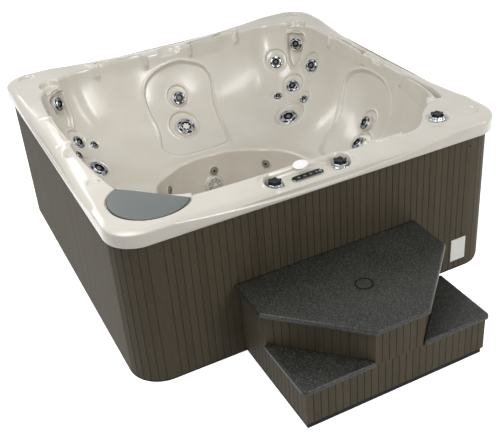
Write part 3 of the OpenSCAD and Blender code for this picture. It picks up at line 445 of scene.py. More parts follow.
def profile(a):
    """The shell's section at each angle of a, from under the lip to near the middle of the floor."""
    h, e, z, f = square_r(a, HALF, LIP_R), edge_r(a), at(a, 1), at(a, 3)
    crease, crest = DECK - CREASE + CREASE_RISE * sag(a), DECK - CREST + CREST_RISE * sag(a)

    def spot(r, height):
        return np.stack([r, height + 0 * r], 1)
    start = spot(h - WALL, LIP + 40)
    pieces = [start[:, None]]
    # Corners: place, size, and coarse steps round the corner and along the straight before it
    rim = [(spot(h - WALL, LIP), 2, 1, 2), (spot(h, LIP), 3, 2, 1), (spot(h, crease - 6), 4, 2, 3),
           (spot(h - 5, crease), 4, 2, 1), (spot(h - 37, crest + 0.5), 34, 4, 3),
           (spot(e + 40, DECK), 16, 2, 18), (spot(e + 2, DECK - 0.5), 20, 5, 4)]
    seat = np.linspace(0.045, 1, 95 * SPLIT + 1)
    r, height = basin(a[:, None], seat[None, :])
    back = np.stack([r, height], 2)
    low = [(spot(f - 4, z - 1), 34, 6, 1), (spot(f - WELL_IN, z - WELL_DROP), 12, 1, 5),
           (spot(f - 46, FLOOR + 0 * f), 50, 6, 13)]
    centre = spot(f * 0.2, FLOOR)

    def corners(before, entries, end):
        for k, (q, size, bend_steps, run_steps) in enumerate(entries):
            after = entries[k + 1][0] if k + 1 < len(entries) else end
            curve = corner_curve(entries[k - 1][0] if k else before, q, after, size, bend_steps * SPLIT)
            pieces.append(straight(pieces[-1][:, -1], curve[:, 0], run_steps * SPLIT)[:, 1:-1])
            pieces.append(curve)
    corners(start, rim, back[:, 0])
    pieces.append(straight(pieces[-1][:, -1], back[:, 0], 5 * SPLIT)[:, 1:-1])
    pieces.append(back)
    corners(back[:, -1], low, centre)
    pieces.append(straight(pieces[-1][:, -1], centre, 10 * SPLIT)[:, 1:])
    return np.concatenate(pieces, axis=1)


def split_cells(points):
    """Which coarse cells leave their own flat patch by so much that they need the fine lattice."""
    rows = points.shape[1]
    coarse = points[::SPLIT, ::SPLIT]
    nxt = np.roll(coarse, -1, 0)
    c00, c01, c10, c11 = coarse[:, :-1], coarse[:, 1:], nxt[:, :-1], nxt[:, 1:]
    wrapped = np.concatenate([points, points[:1]], 0)
    need = np.zeros(c00.shape[:2], bool)
    for i in range(SPLIT + 1):
        for j in range(SPLIT + 1):
            s, t = i / SPLIT, j / SPLIT
            flat = (1 - s) * ((1 - t) * c00 + t * c01) + s * ((1 - t) * c10 + t * c11)
            real = wrapped[i:i + (COLUMNS - 1) * SPLIT + 1:SPLIT, j:j + rows - 1:SPLIT][:, :c00.shape[1]]
            need |= np.linalg.norm(real - flat, axis=2) > FLAT_ENOUGH
    return need


def lattice_faces(need, rows):
    """Faces over the lattice: fine quads where needed, else coarse ones with more corners along the seams."""
    columns = COLUMNS * SPLIT

    def vertex(i, j):
        return (i % columns) * rows + j

    def quads(a, b, k):
        return np.stack([vertex(a, b), vertex(a, b + k), vertex(a + k, b + k), vertex(a + k, b)], 1).tolist()
    faces = []
    k = SPLIT
    a, b = (n * k for n in np.nonzero(need))
    for i in range(k):
        for j in range(k):
            faces += quads(a + i, b + j, 1)
    left, right = np.roll(need, 1, 0), np.roll(need, -1, 0)
    above = np.concatenate([np.zeros((COLUMNS, 1), bool), need[:, :-1]], 1)
    below = np.concatenate([need[:, 1:], np.zeros((COLUMNS, 1), bool)], 1)
    plain = ~(need | left | right | above | below)
    faces += quads(*(n * k for n in np.nonzero(plain)), k)
    sides = (((0, 0), (0, 1), left), ((0, k), (1, 0), below),
             ((k, k), (0, -1), right), ((k, 0), (-1, 0), above))
    for i, j in zip(*np.nonzero(~need & ~plain)):
        a, b = int(i) * k, int(j) * k
        faces.append([vertex(a + u + du * n, b + v + dv * n) for (u, v), (du, dv), fine in sides
                      for n in range(k if fine[i, j] else 1)])
    faces.append([vertex(i * SPLIT, rows - 1) for i in range(COLUMNS - 1, -1, -1)])
    return faces


# Holes cut through the shell: share of a fitting's diameter, the filter well, and the mouth of its duct
JET_HOLE, SMALL_HOLE, HOLE_REACH, WELL_HOLE = 0.36, 0.3, 40, 89
MOUTH_ACROSS, MOUTH_UP, MOUTH_FROM, MOUTH_TO = 68, 43, 950, 1200


def in_holes(centres):
    holes = [(wall_place(curve, a, t), d * (SMALL_HOLE if d == JET_SMALL else JET_HOLE))
             for curve, a, t, d in BASIN_JETS + WELL_JETS]
    holes.append((rim_place(-WELL_S * DIAGONAL, -WELL_S * DIAGONAL), WELL_HOLE))
    x, y, z = centres.T
    s, across, up = -(x + y) * DIAGONAL, (x - y) * DIAGONAL, z - (WEIR_LOW + WEIR_HIGH) / 2
    gone = (np.abs(across) < MOUTH_ACROSS) & (np.abs(up) < MOUTH_UP) & (s > MOUTH_FROM) & (s < MOUTH_TO)
    for place, radius in holes:
        local = (centres - place[:3, 3]) @ place[:3, :3]
        gone |= (np.hypot(local[:, 0], local[:, 1]) < radius) & (np.abs(local[:, 2]) < HOLE_REACH)
    return gone


def make_shell():
    add_features()
    angles = np.arange(COLUMNS * SPLIT) * 360 / (COLUMNS * SPLIT)
    section = profile(angles)
    rows = section.shape[1]
    points = on_ring(angles[:, None], section[:, :, 0], section[:, :, 1]).reshape(-1, 3)
    points = press(points).reshape(-1, rows, 3)
    faces = lattice_faces(split_cells(points), rows)
    points = points.reshape(-1, 3)
    gone = in_holes(np.array([points[f[0]] + points[f[2]] for f in faces]) / 2)
    faces = [f for f, drop in zip(faces, gone) if not drop]
    used, flat = np.unique(np.concatenate(faces), return_inverse=True)
    flat, cut = flat.tolist(), np.cumsum([0] + [len(f) for f in faces])
    faces = [flat[low:high] for low, high in zip(cut, cut[1:])]
    mesh_object("shell_moulded", (points[used], faces), "acrylic", replaces=("shell",), crease=None)


# Materials

def srgb(*colour):
    """A colour's linear value from its 0 to 255 numbers."""
    shares = [c / 255 for c in colour]
    return tuple(c / 12.92 if c <= 0.04045 else ((c + 0.055) / 1.055) ** 2.4 for c in shares) + (1,)


def feed(tree, node, inputs):
    """Sets a node's inputs, given by name or place, or links them to other nodes' outputs."""
    for key, value in inputs.items():
        if isinstance(value, bpy.types.NodeSocket):
            tree.links.new(value, node.inputs[key])
        else:
            node.inputs[key].default_value = value


def new_node(tree, kind, inputs=(), **settings):
    made = tree.nodes.new("ShaderNode" + kind)
    for key, value in settings.items():
        setattr(made, key, value)
    feed(tree, made, dict(inputs))
    return made


class Look:
    """A material's node tree, with short ways to add what most of them need."""

    def __init__(self, name, colour, rough, metal=0.0, coat=0.0, coat_rough=0.06, spec=0.5):
        self.name = name
        self.material = bpy.data.materials.new(name)
        self.material.use_nodes = True
        self.tree = self.material.node_tree
        self.shader = self.tree.nodes["Principled BSDF"]
        self.surface({"Base Color": srgb(*colour), "Roughness": rough, "Metallic": metal, "Coat Weight": coat,
                      "Coat Roughness": coat_rough, "Specular IOR Level": spec})
        self.coords = self.node("TexCoord").outputs["Object"]

    def surface(self, inputs):
        feed(self.tree, self.shader, inputs)

    def node(self, kind, inputs=(), **settings):
        return new_node(self.tree, kind, inputs, **settings)

    def stretched(self, scale):
        return self.node("Mapping", {"Scale": scale, "Vector": self.coords}).outputs["Vector"]

    def noise(self, scale, detail=3.0, stretch=(1, 1, 1)):
        inputs = {"Scale": scale, "Detail": detail, "Vector": self.stretched(stretch)}
        return self.node("TexNoise", inputs).outputs["Fac"]

    def cells(self, scale):
        return self.node("TexVoronoi", {"Scale": scale, "Vector": self.coords}).outputs["Distance"]

    def ramp(self, value, stops):
        made = self.node("ValToRGB", {"Fac": value})
        elements = made.color_ramp.elements
        while len(elements) < len(stops):
            elements.new(0.5)
        for element, (place, colour) in zip(elements, stops):
            element.position = place
            element.color = srgb(*colour)
        return made.outputs["Color"]

    def mix(self, factor, a, b):
        return self.node("Mix", {"Factor": factor, "A": a, "B": b}, data_type="RGBA").outputs["Result"]

    def colour(self, output):
        self.surface({"Base Color": output})

    def rough(self, value, low, high):
        made = self.node("MapRange", {"Value": value, "To Min": low, "To Max": high})
        self.surface({"Roughness": made.outputs["Result"]})

    def bumps(self, value, strength, distance):
        made = self.node("Bump", {"Strength": strength, "Distance": distance, "Height": value})
        self.surface({"Normal": made.outputs["Normal"]})


def acrylic():
    look = Look("acrylic", (199, 194, 183), 0.26, coat=0.6, coat_rough=0.17)
    cloud = look.ramp(look.noise(5, 4), [(0.3, (196, 190, 178)), (0.7, (203, 198, 188))])
    fleck = look.ramp(look.noise(900, 1), [(0.42, (188, 182, 169)), (0.6, (211, 207, 199))])
    look.colour(look.mix(0.12, cloud, fleck))
    look.rough(look.noise(6), 0.2, 0.26)
    return look


SLAT_W = 0.03804


def slats():
    """Boards that differ a little in tone, with a fine upright grain."""
    look = Look("slats", (71, 64, 51), 0.62, spec=0.18)
    snap = look.node("VectorMath", {0: look.coords, 1: (SLAT_W, SLAT_W, 10)}, operation="SNAP")
    tone = look.node("TexWhiteNoise", {"Vector": snap.outputs["Vector"]}, noise_dimensions="3D")
    boards = look.ramp(tone.outputs["Value"], [(0.0, (66, 59, 46)), (1.0, (78, 70, 55))])
    grain = look.noise(14, 5, (22, 22, 1))
    streak = look.ramp(grain, [(0.35, (60, 53, 41)), (0.65, (82, 74, 59))])
    look.colour(look.mix(0.45, boards, streak))
    look.rough(grain, 0.52, 0.72)
    look.bumps(grain, 0.35, 0.0006)
    return look


def tread():
    look = Look("tread", (44, 45, 41), 0.42, spec=0.35)
    pebble = look.cells(260)
    speck = look.ramp(look.noise(190, 4), [(0.4, (12, 13, 12)), (0.52, (38, 39, 36)), (0.66, (104, 106, 98))])
    cloud = look.ramp(look.noise(5, 3), [(0.3, (34, 35, 32)), (0.7, (50, 51, 47))])
    look.colour(look.mix(0.5, cloud, speck))
    look.rough(pebble, 0.26, 0.44)
    look.bumps(pebble, 0.5, 0.0008)
    return look


def plastic(name, colour, rough, dirt=6, spec=0.5):
    """A plain moulded plastic with faint unevenness."""
    look = Look(name, colour, rough, spec=spec)
    lighter = tuple(min(255, c + dirt) for c in colour)
    darker = tuple(max(0, c - dirt) for c in colour)
    look.colour(look.ramp(look.noise(30, 4), [(0.3, darker), (0.7, lighter)]))
    look.rough(look.noise(60), rough - 0.05, rough + 0.08)
    return look


def grained(name, colour, rough, grain, stops, bump, spec=0.5):
    """A material whose tone and relief follow one noise."""
    look = Look(name, colour, rough, spec=spec)
    value = look.noise(*grain)
    look.colour(look.ramp(value, stops))
    look.bumps(value, *bump)
    return look


def metal(name, colour, rough, scratch):
    look = Look(name, colour, rough, metal=1.0)
    wear = look.noise(70, 4, (1, 1, 5))
    look.rough(wear, max(0.02, rough - scratch), rough + scratch)
    return look


def paper():
    look = Look("filter_paper", (222, 226, 230), 0.85)
    look.colour(look.ramp(look.noise(260, 3), [(0.3, (206, 211, 217)), (0.7, (232, 235, 238))]))
    look.bumps(look.noise(700, 2), 0.3, 0.0003)
    return look


def make_materials():
    rings = [(0.3, (170, 130, 84)), (0.5, (200, 164, 114)), (0.7, (214, 182, 134))]
    greys = [(0.3, (91, 97, 95)), (0.7, (105, 111, 108))]
    looks = [acrylic(), slats(), tread(), paper(),
             grained("timber", (196, 160, 110), 0.65, (9, 6, (1, 1, 9)), rings, (0.3, 0.0006)),
             grained("lid_grey", (98, 104, 102), 0.4, (650, 2), greys, (0.25, 0.0002), 0.35),
             plastic("black_base", (22, 22, 21), 0.6, spec=0.15), plastic("foam", (206, 198, 150), 0.9),
             metal("screw_steel", (84, 80, 72), 0.45, 0.1), plastic("plate_film", (226, 226, 222), 0.35, 3),
             metal("chrome", (158, 162, 167), 0.12, 0.03), plastic("badge_plastic", (236, 236, 235), 0.12, 3),
             plastic("housing_plastic", (216, 213, 203), 0.4, 4),
             plastic("panel_black", (14, 14, 15), 0.28, 3, 0.15),
             plastic("button_grey", (84, 86, 88), 0.4, 5), plastic("nut_plastic", (70, 70, 70), 0.5),
             plastic("fitting_grey", (122, 121, 107), 0.35, 5), plastic("pipe_pvc", (236, 236, 230), 0.35, 4),
             plastic("pump_paint", (58, 62, 68), 0.4), metal("heater_steel", (196, 198, 200), 0.25, 0.08),
             plastic("pack_paint", (160, 165, 168), 0.4)]
    return {look.name: look.material for look in looks}


# Meshes

def new_object(name, data):
    obj = bpy.data.objects.new(name, data)
    bpy.context.scene.collection.objects.link(obj)
    return obj


def placed(place, points):
    return points @ place[:3, :3].T + place[:3, 3]


def moved(place, form):
    return placed(place, form[0]), form[1]


def shifted(form, *step):
    return form[0] + step, form[1]


def mesh_object(name, form, slot, body="tub", replaces=(), crease=40, place=None):
    """A piece from (points in millimetres, faces), smooth except at edges sharper than crease degrees."""
    points, faces = form if place is None else moved(place, form)
    mesh = bpy.data.meshes.new(name)
    mesh.from_pydata((points * MM).tolist(), [], faces)
    mesh.validate()
    mesh.shade_smooth()
    if crease is not None:
        mesh.set_sharp_from_angle(angle=math.radians(crease))
    mesh.materials.append(MATERIALS[slot])
    obj = new_object(name, mesh)
    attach(obj, body)
    if replaces:
        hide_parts(*replaces)


def joined(parts):
    """One mesh from several (points, faces)."""
    points, faces, start = [], [], 0
    for p, f in parts:
        points.append(p)
        faces += [[v + start for v in face] for face in f]
        start += len(p)
    return np.concatenate(points), faces


def repeated(form, places):
    return joined([moved(place, form) for place in places])


def loft(loops, closed=False):
    """A form through loops of equally many points, capped at both ends or closed to a ring."""
    steps, count = len(loops[0]), len(loops)
    faces = []
    for k in range(count if closed else count - 1):
        low, high = k * steps, (k + 1) % count * steps
        faces += [[low + i, low + (i + 1) % steps, high + (i + 1) % steps, high + i] for i in range(steps)]
    if not closed:
        faces += [list(range(steps - 1, -1, -1)), [(count - 1) * steps + i for i in range(steps)]]
    return np.concatenate(loops), faces


def lathe(section, steps=64, wave=None, closed=False):
    """A section [(radius, height)] turned about z; wave(angles, k) scales radius k."""
    angles = np.arange(steps) * 2 * math.pi / steps
    loops = []
    for k, (r, z) in enumerate(section):
        reach = r * (np.ones(steps) if wave is None else wave(angles, k))
        loops.append(np.stack([reach * np.cos(angles), reach * np.sin(angles), np.full(steps, float(z))], 1))
    return loft(loops, closed)


def box(low, high):
    (x0, y0, z0), (x1, y1, z1) = low, high
    return loft([np.array([(x0, y0, z), (x1, y0, z), (x1, y1, z), (x0, y1, z)], float) for z in (z0, z1)])


def pill(length, width, height, offset=0.0, steps=24):
    """A slot's outline at a height, moved outwards by an offset."""
    r, reach = width / 2 + offset, (length - width) / 2
    t = np.arange(steps) * math.pi / (steps - 1)
    right = np.stack([reach + r * np.sin(t), -r * np.cos(t)], 1)
    outline = np.concatenate([right, -right])
    return np.column_stack([outline, np.full(len(outline), float(height))])


def inset(outline, amount):
    """An anticlockwise outline moved inwards."""
    before, after = np.roll(outline, 1, 0), np.roll(outline, -1, 0)
    u, v = outline - before, after - outline
    u, v = u / np.linalg.norm(u, axis=1, keepdims=True), v / np.linalg.norm(v, axis=1, keepdims=True)
    normal = np.stack([-(u[:, 1] + v[:, 1]), u[:, 0] + v[:, 0]], 1)
    normal /= np.linalg.norm(normal, axis=1, keepdims=True)
    lean = np.maximum(0.5, -normal[:, :1] * u[:, 1:] + normal[:, 1:] * u[:, :1])
    return outline + normal * amount / lean


def slab(outline, bottom, top, top_round, bottom_round=2.0, steps=6):
    """A plate with a rounded top edge."""
    entries = [(bottom_round, bottom), (0, bottom + bottom_round)]
    for k in range(steps + 1):
        a = math.pi / 2 * k / steps
        entries.append((top_round * (1 - math.cos(a)), top - top_round * (1 - math.sin(a))))
    return loft([np.column_stack([inset(outline, k), np.full(len(outline), z)]) for k, z in entries])


def rounded(corners, steps=10):
    """An outline through corners [(x, y, radius)], anticlockwise, with each corner rounded."""
    out = []
    count = len(corners)
    for k, (x, y, r) in enumerate(corners):
        p = np.array((x, y), float)
        u = np.array(corners[k - 1][:2]) - p
        v = np.array(corners[(k + 1) % count][:2]) - p
        u, v = u / np.linalg.norm(u), v / np.linalg.norm(v)
        half = math.acos(u @ v) / 2
        middle = p + (u + v) / np.linalg.norm(u + v) * r / math.sin(half)
        start, sweep = math.atan2(u[0], -u[1]), math.pi - 2 * half
        turns = [start + sweep * i / steps for i in range(steps + 1)]
        out += [middle + r * np.array((math.cos(turn), math.sin(turn))) for turn in turns]
    return np.array(out)


# Jets. Sections are (radius as a share of the diameter, height over the wall in millimetres)

FLANGE = [(0.30, 4.8), (0.425, 5.0), (0.434, 6.6), (0.458, 7.5), (0.484, 6.7), (0.5, 4.6), (0.5, 3.1),
          (0.36, 3.1), (0.36, -30), (0.30, -30)]
FACE = [(0.272, 7.9), (0.272, 13.2), (0.280, 14.8), (0.294, 15.5), (0.312, 15.1), (0.326, 13.4), (0.334, 11.4),
        (0.345, 10.4), (0.388, 10.7), (0.418, 10.2), (0.430, 8.8), (0.428, 7.9)]
# The black cup behind a jet's face is painted shade: it stands for the dark hollow seen through the notches
# and round the rotor.
SHADE_CUP = [(0.431, 7.45), (0.431, 7.85), (0.36, 8.6), (0.28, 9.0), (0.269, 12.6), (0.255, 12.6), (0.246, 5.5),
       (0.12, 3.2), (0.01, 3.0), (0.01, 2.0), (0.3, 2.0), (0.3, 7.45)]
STAR = [(0.003, 12.4), (0.04, 12.7), (0.08, 12.4), (0.13, 11.4), (0.18, 9.8), (0.22, 8.2), (0.215, 6.4),
        (0.003, 6.0)]
EYE = [(0.040, 7.0), (0.040, 10.6), (0.050, 11.5), (0.075, 11.6), (0.095, 10.4), (0.110, 7.6), (0.105, 5.0)]
FOOT_DISC = [(0.10, 6.6), (0.155, 8.4), (0.155, 10.6), (0.205, 10.6), (0.235, 9.0), (0.26, 8.2), (0.31, 8.9),
             (0.35, 8.6), (0.385, 6.9), (0.42, 7.1), (0.47, 6.9), (0.5, 5.4), (0.5, 3.1), (0.3, 3.1),
             (0.3, -25), (0.10, -25)]
# A black plug over the footwell jet's opening: painted shade for the hollow nozzle.
FOOT_SHADE_PLUG = [(8.4, 4.0), (8.4, 7.6), (7.4, 8.4), (0.01, 7.4)]
LUGS, NOTCH = 5, 0.77
LOBES, LOBE_WAIST = 7, 0.60
FLAT_TOP = 7.3
STAR_JETS = ("jet_back_lower", "jet_back_upper", "jet_fr_lower")


def lug(angles, k):
    """The face's rim stands out in broad lugs; in the notches between them the black cup shows, painted shade
    for the hollow behind the face.
    """
    if k < 8:
        return np.ones(len(angles))
    off = np.abs((np.degrees(angles) * LUGS + 180) % 360 - 180) / LUGS
    return NOTCH + (1 - NOTCH) * ease((25 - off) / 9)


def lobe(angles, k):
    if k < 3:
        return np.ones(len(angles))
    return LOBE_WAIST + (1 - LOBE_WAIST) * (0.5 + 0.5 * np.cos(LOBES * angles)) ** 0.7


def spread(section, d, low=1.0):
    """A section at its real size; low flattens what stands over the flange."""
    return [(r * d, z if z < FLAT_TOP else FLAT_TOP + (z - FLAT_TOP) * low) for r, z in section]


def jet_parts(d, low=1.0, star=False):
    """A jet's face, its black cup of painted shade for the hollow behind it, and its rotor: a star, or an eye
    that sits a little off the middle.
    """
    face = lathe(spread(FACE, d, low), 96 if d > JET_SMALL else 72, lug, closed=True)
    shade_cup = lathe(spread(SHADE_CUP, d, low), 64, closed=True)
    if star:
        return face, shade_cup, lathe(spread(STAR, d, low), 84, lobe)
    return face, shade_cup, shifted(lathe(spread(EYE, d, low), 40, closed=True), 0.018 * d, 0.01 * d, 0)


def make_jets():
    flanges = []
    for name, (a, t, d) in JETS.items():
        place = wall_place(basin, a, t)
        star = name in STAR_JETS
        face, shade_cup, rotor = jet_parts(d, star=star)
        flanges.append(moved(place, lathe(spread(FLANGE, d), 64, closed=True)))
        mesh_object(name + "_face", face, "chrome", name, (name,), place=place)
        # The black cup is painted shade for the hollow behind the face.
        mesh_object(name + "_cup", shade_cup, "panel_black", name, place=place)
        slot = "housing_plastic" if star and d == JET_LARGE else "fitting_grey"
        mesh_object(name + "_rotor", rotor, slot, name, place=place)
    mesh_object("jet_flanges", joined(flanges), "chrome", replaces=("jet_fittings",))


def make_small_jets():
    places = [wall_place(basin, *spot) for spot in MINIS]
    face, shade_cup, rotor = jet_parts(JET_SMALL, 0.7)
    face = joined([face, lathe(spread(FLANGE, JET_SMALL), 48, closed=True)])
    mesh_object("mini_jet_faces", repeated(face, places), "chrome", replaces=("mini_jets",))
    # The black cups are painted shade for the hollow behind the faces.
    mesh_object("mini_jet_shade_cups", repeated(shade_cup, places), "panel_black")
    mesh_object("mini_jet_rotors", repeated(rotor, places), "fitting_grey")
    places = [wall_place(well, *spot) for spot in FOOT_JETS]
    disc = lathe(spread(FOOT_DISC, JET_SMALL), 64, closed=True)
    mesh_object("footwell_jet_discs", repeated(disc, places), "fitting_grey", replaces=("footwell_jets",))
    # The black plugs are painted shade for the hollow inside each nozzle.
    mesh_object("footwell_jet_shade_plugs", repeated(lathe(FOOT_SHADE_PLUG, 32), places), "panel_black")


# Sections of the grille's rings and spokes: place from their middle and height over the dome
HOOP = [(-1.6, -3.5), (-1.6, -0.6), (-0.8, 0), (0.8, 0), (1.6, -0.6), (1.6, -3.5)]
SPOKE = [(-2.2, -4), (2.2, -4), (2.2, -0.4), (1.4, 0.2), (-1.4, 0.2), (-2.2, -0.4)]


def make_suction_cover():
    """A domed grille: rings and spokes over a dark disc, painted shade for the hollow behind the grille."""
    place = wall_place(well, *SUCTION)
    outer = SUCTION_D / 2

    def dome(r):
        return 18.2 - 9.5 * (r / outer) ** 2
    parts = [lathe([(outer - 7, 6.8), (outer - 7, dome(outer - 7)), (outer - 4, dome(outer - 4) + 0.6),
                    (outer - 0.5, 8.4), (outer, 7.2), (outer - 0.4, 6.8)], 72, closed=True),
             lathe([(12, 12.5), (12, 17.2), (10, 18.4), (0.01, 18.8), (0.01, 12.5)], 40)]
    parts += [lathe([(r + x, dome(r) + h) for x, h in HOOP], 64, closed=True) for r in (19, 27, 35, 43)]
    for a in np.arange(8) * math.pi / 4:
        along, side = np.array((math.cos(a), math.sin(a), 0)), np.array((-math.sin(a), math.cos(a), 0))
        parts.append(loft([np.array([along * r + side * x + (0, 0, dome(r) + h) for x, h in SPOKE])
                           for r in (10, 20, 30, 40, 50)]))
    mesh_object("suction_grille", joined(parts), "housing_plastic", replaces=("suction_cover",), place=place)
    # The dark disc under the grille is painted shade for the hollow behind it.
    shade_disc = lathe([(48, 6.7), (48, 8.0), (0.01, 9.0)], 48)
    mesh_object("suction_shade_disc", shade_disc, "nut_plastic", place=place)


# Fittings on the rim

FLUTES = 10
KNOB_LOBES = 6
KNOB_SKIRT = [(0.01, 4.7), (43.2, 4.7), (44.0, 5.4), (43.6, 7.2), (41.2, 10.2), (39.2, 15.0), (38.2, 19.4),
              (36.8, 21.2), (34.6, 22.0), (0.01, 22.0)]
KNOB_CAP = [(0.01, 21.6), (35.0, 21.6), (36.0, 24.0), (35.4, 29.5), (34.0, 32.4), (31.0, 33.6), (25.0, 34.0),
            (17.0, 33.4), (0.01, 33.2)]


def make_knobs():
    def fluted(angles, k):
        return 1 - (0.05 * (0.5 + 0.5 * np.cos(FLUTES * angles)) if 3 <= k <= 7 else 0 * angles)

    def lobed(angles, k):
        return 0.76 + 0.24 * (0.5 + 0.5 * np.cos(KNOB_LOBES * angles)) ** 2 if 1 <= k <= 6 else 1 + 0 * angles
    for name, (x, y, z) in KNOBS.items():
        place = rim_place(x, y, z=z)
        mark = loft([pill(9, 2.4, h) + (22, 0, 0) for h in (33.2, 34.0)])
        mesh_object(name + "_skirt", lathe(KNOB_SKIRT, 168, fluted), "chrome", name, (name,), 50, place)
        mesh_object(name + "_cap", lathe(KNOB_CAP, 144, lobed), "panel_black", name, (), 50, place)
        mesh_object(name + "_mark", mark, "plate_film", name, (), 50, place)


PANEL_X, PANEL_L, PANEL_W, PANEL_TURN = -55.0, 172.0, 46.0, 2.0
PANEL_TOP, LAMP_X, BUTTON_TOP, BUTTON_STEP = 6.3, 71.0, 7.5, 33.0


def make_panel():
    place = rim_place(PANEL_X, TRAY_Y, PANEL_TURN, TRAY_Z)
    edge = [(-1.2, 5.8), (-1.0, 6.6), (-0.5, 6.9), (0.2, 6.6), (0.7, 6.0), (0.9, 4.6), (0.9, 0.4), (-1.2, 0.4)]
    trim = loft([pill(PANEL_L, PANEL_W, z, k) for k, z in edge], closed=True)
    mesh_object("panel_trim", trim, "chrome", crease=50, place=place)
    low, high = PANEL_TOP - 0.2, PANEL_TOP + 0.3
    lamp = lathe([(4.2, low), (4.2, high), (6.4, high), (6.4, low)], 32, closed=True)
    mesh_object("panel_lamp", shifted(lamp, LAMP_X, 0, 0), "plate_film", place=place)
    low, high = BUTTON_TOP - 0.1, BUTTON_TOP + 0.35
    marks = [
        [lathe([(3.2, low), (3.2, high), (5.0, high), (5.0, low)], 32, closed=True)],
        [box((-4.8, -1.1, low), (4.8, 1.1, high)), box((-1.1, -4.8, low), (1.1, -1.1, high)),
         box((-1.1, 1.1, low), (1.1, 4.8, high))],
        [box((-4.6, y - 0.9, low), (4.6, y + 0.9, high)) for y in (-3.4, 0, 3.4)],
        [loft([np.array([(-4.6, -3.2, z), (4.6, -3.2, z), (0, 4.6, z)]) for z in (low, high)])]]
    for k, parts in enumerate(marks):
        button = f"button_{k + 1}"
        mark = shifted(joined(parts), (k - 1.5) * BUTTON_STEP, 0, 0)
        mesh_object(button + "_mark", mark, "fitting_grey", button, place=place)


# Place, length, width, turn, how far it leans back, and how far it is let into the ridge
BADGE = (-63.0, -921.0, 86.0, 52.0, 4.0)
BADGE_TILT, BADGE_LET_IN = 26.0, 5.0
BADGE_RIM = [(0.7, -20), (0.9, -9), (1.0, -4), (1.0, 0.5), (0.98, 1.8), (0.94, 2.6), (0.85, 3.6), (0.65, 4.8),
             (0.4, 5.6), (0.1, 5.9)]


def make_badge():
    """A blank glossy oval, domed, on the ridge beside the tray."""
    x, y, length, width, turn = BADGE
    place = rim_place(x, y, turn)
    lean = math.radians(BADGE_TILT)
    tilt = np.array([(1, 0, 0), (0, math.cos(lean), -math.sin(lean)), (0, math.sin(lean), math.cos(lean))])
    a = np.arange(72) * math.pi / 36
    loops = [np.stack([share * length / 2 * np.cos(a), share * width / 2 * np.sin(a), 0 * a + height], 1)
             for share, height in BADGE_RIM]
    seat = press(placed(place, loops[4] * (0.8, 0.8, 0)))[:, 2].max() - DECK - BADGE_LET_IN
    points, faces = loft(loops)
    oval = points @ tilt.T + (0, 0, seat), faces
    mesh_object("badge_oval", oval, "badge_plastic", replaces=("badge_plate",), crease=50, place=place)


def diagonal_points(outline):
    """Points given as distance along the front left diagonal, distance across it, and height."""
    s, across, z = outline.T
    return np.stack([-(s - across) * DIAGONAL, -(s + across) * DIAGONAL, z], 1)


def make_lid():
    chord = math.acos((LID_CUT - LID_S) / LID_R)
    arc = np.linspace(-chord, chord, 97)
    outline = np.stack([LID_S + LID_R * np.cos(arc), LID_R * np.sin(arc)], 1)
    steps = 24
    chord_points = [outline[-1] + (outline[0] - outline[-1]) * k / steps for k in range(1, steps)]
    outline = np.vstack([outline, chord_points])
    plate = slab(outline, DECK + SEAT_GAP, DECK + SEAT_GAP + LID_T, 4.5, 1.0)
    plug = lathe([(74, DECK - 7.5), (79, DECK - 7.5), (79, DECK + 1.5), (74, DECK + 1.5)], 64, closed=True)
    points, faces = joined([plate, shifted(plug, WELL_S, 0, 0)])
    mesh_object("filter_lid_moulded", (diagonal_points(points), faces), "lid_grey", "lid", ("filter_lid",))
    # A thin black ring under the lid's edge: painted shadow along the gap round the lid.
    points, faces = slab(inset(outline, -2.4), DECK + SEAT_GAP + 0.1, DECK + SEAT_GAP + 2.6, 0.6, 0.4)
    mesh_object("filter_lid_shade_ring", (diagonal_points(points), faces), "black_base", "lid")


WEIR_W, WEIR_LOW, WEIR_HIGH, MOUTH_R = 120.0, DECK - 118, DECK - 48, 1060.0


def make_bezel():
    """A frame on the basin's wall round the mouth of the filter's duct."""
    loops = []
    for grow, out in ((4, -6), (4, 3.2), (7, 5), (14, 4.6), (18, 2.2), (19, -2)):
        w, low, high, corner = WEIR_W / 2 + grow, WEIR_LOW - grow, WEIR_HIGH + min(grow, 15), 6 + grow * 0.5
        outline = rounded([(-w, low, corner), (w, low, corner), (w, high, corner), (-w, high, corner)], 6)
        loops.append(np.array([wall_at_height(225 + math.degrees(math.atan2(across, MOUTH_R)), z, out)
                               for across, z in outline]))
    mesh_object("skimmer_bezel", loft(loops, closed=True), "housing_plastic", crease=50)


def wall_at_height(a, z, out):
    """The point of the basin's wall at angle a and height z, moved into the basin."""
    t = np.linspace(0, 0.6, 400)
    r, height = basin(np.array([a]), t)
    k = np.argmin(np.abs(height - z))
    return on_ring(a, r[k], z) + wall_place(basin, a, t[max(k, 12)])[:3, 2] * out


# Steps

SIDE_X, FRONT_Y, STEP_W, STEP_D, STEP_Y = 491.0, -1660.0, 1038.0, 638.0, -1050.5
CHAMFER, LOW_NOSE, DIAG_C = 377.0, 16.0, 1790.4
STEP_TOP, LOW_TOP, TREAD_T = 430.0, 240.0, 28.0
CAP_Y = -1372.5
TOP_ROUND, UNDER_ROUND = 11, 7
BATTEN_X, BATTEN_HALF, BATTEN_FROM, BATTEN_TO, BATTEN_T = 330, 60, 75, 51, 14


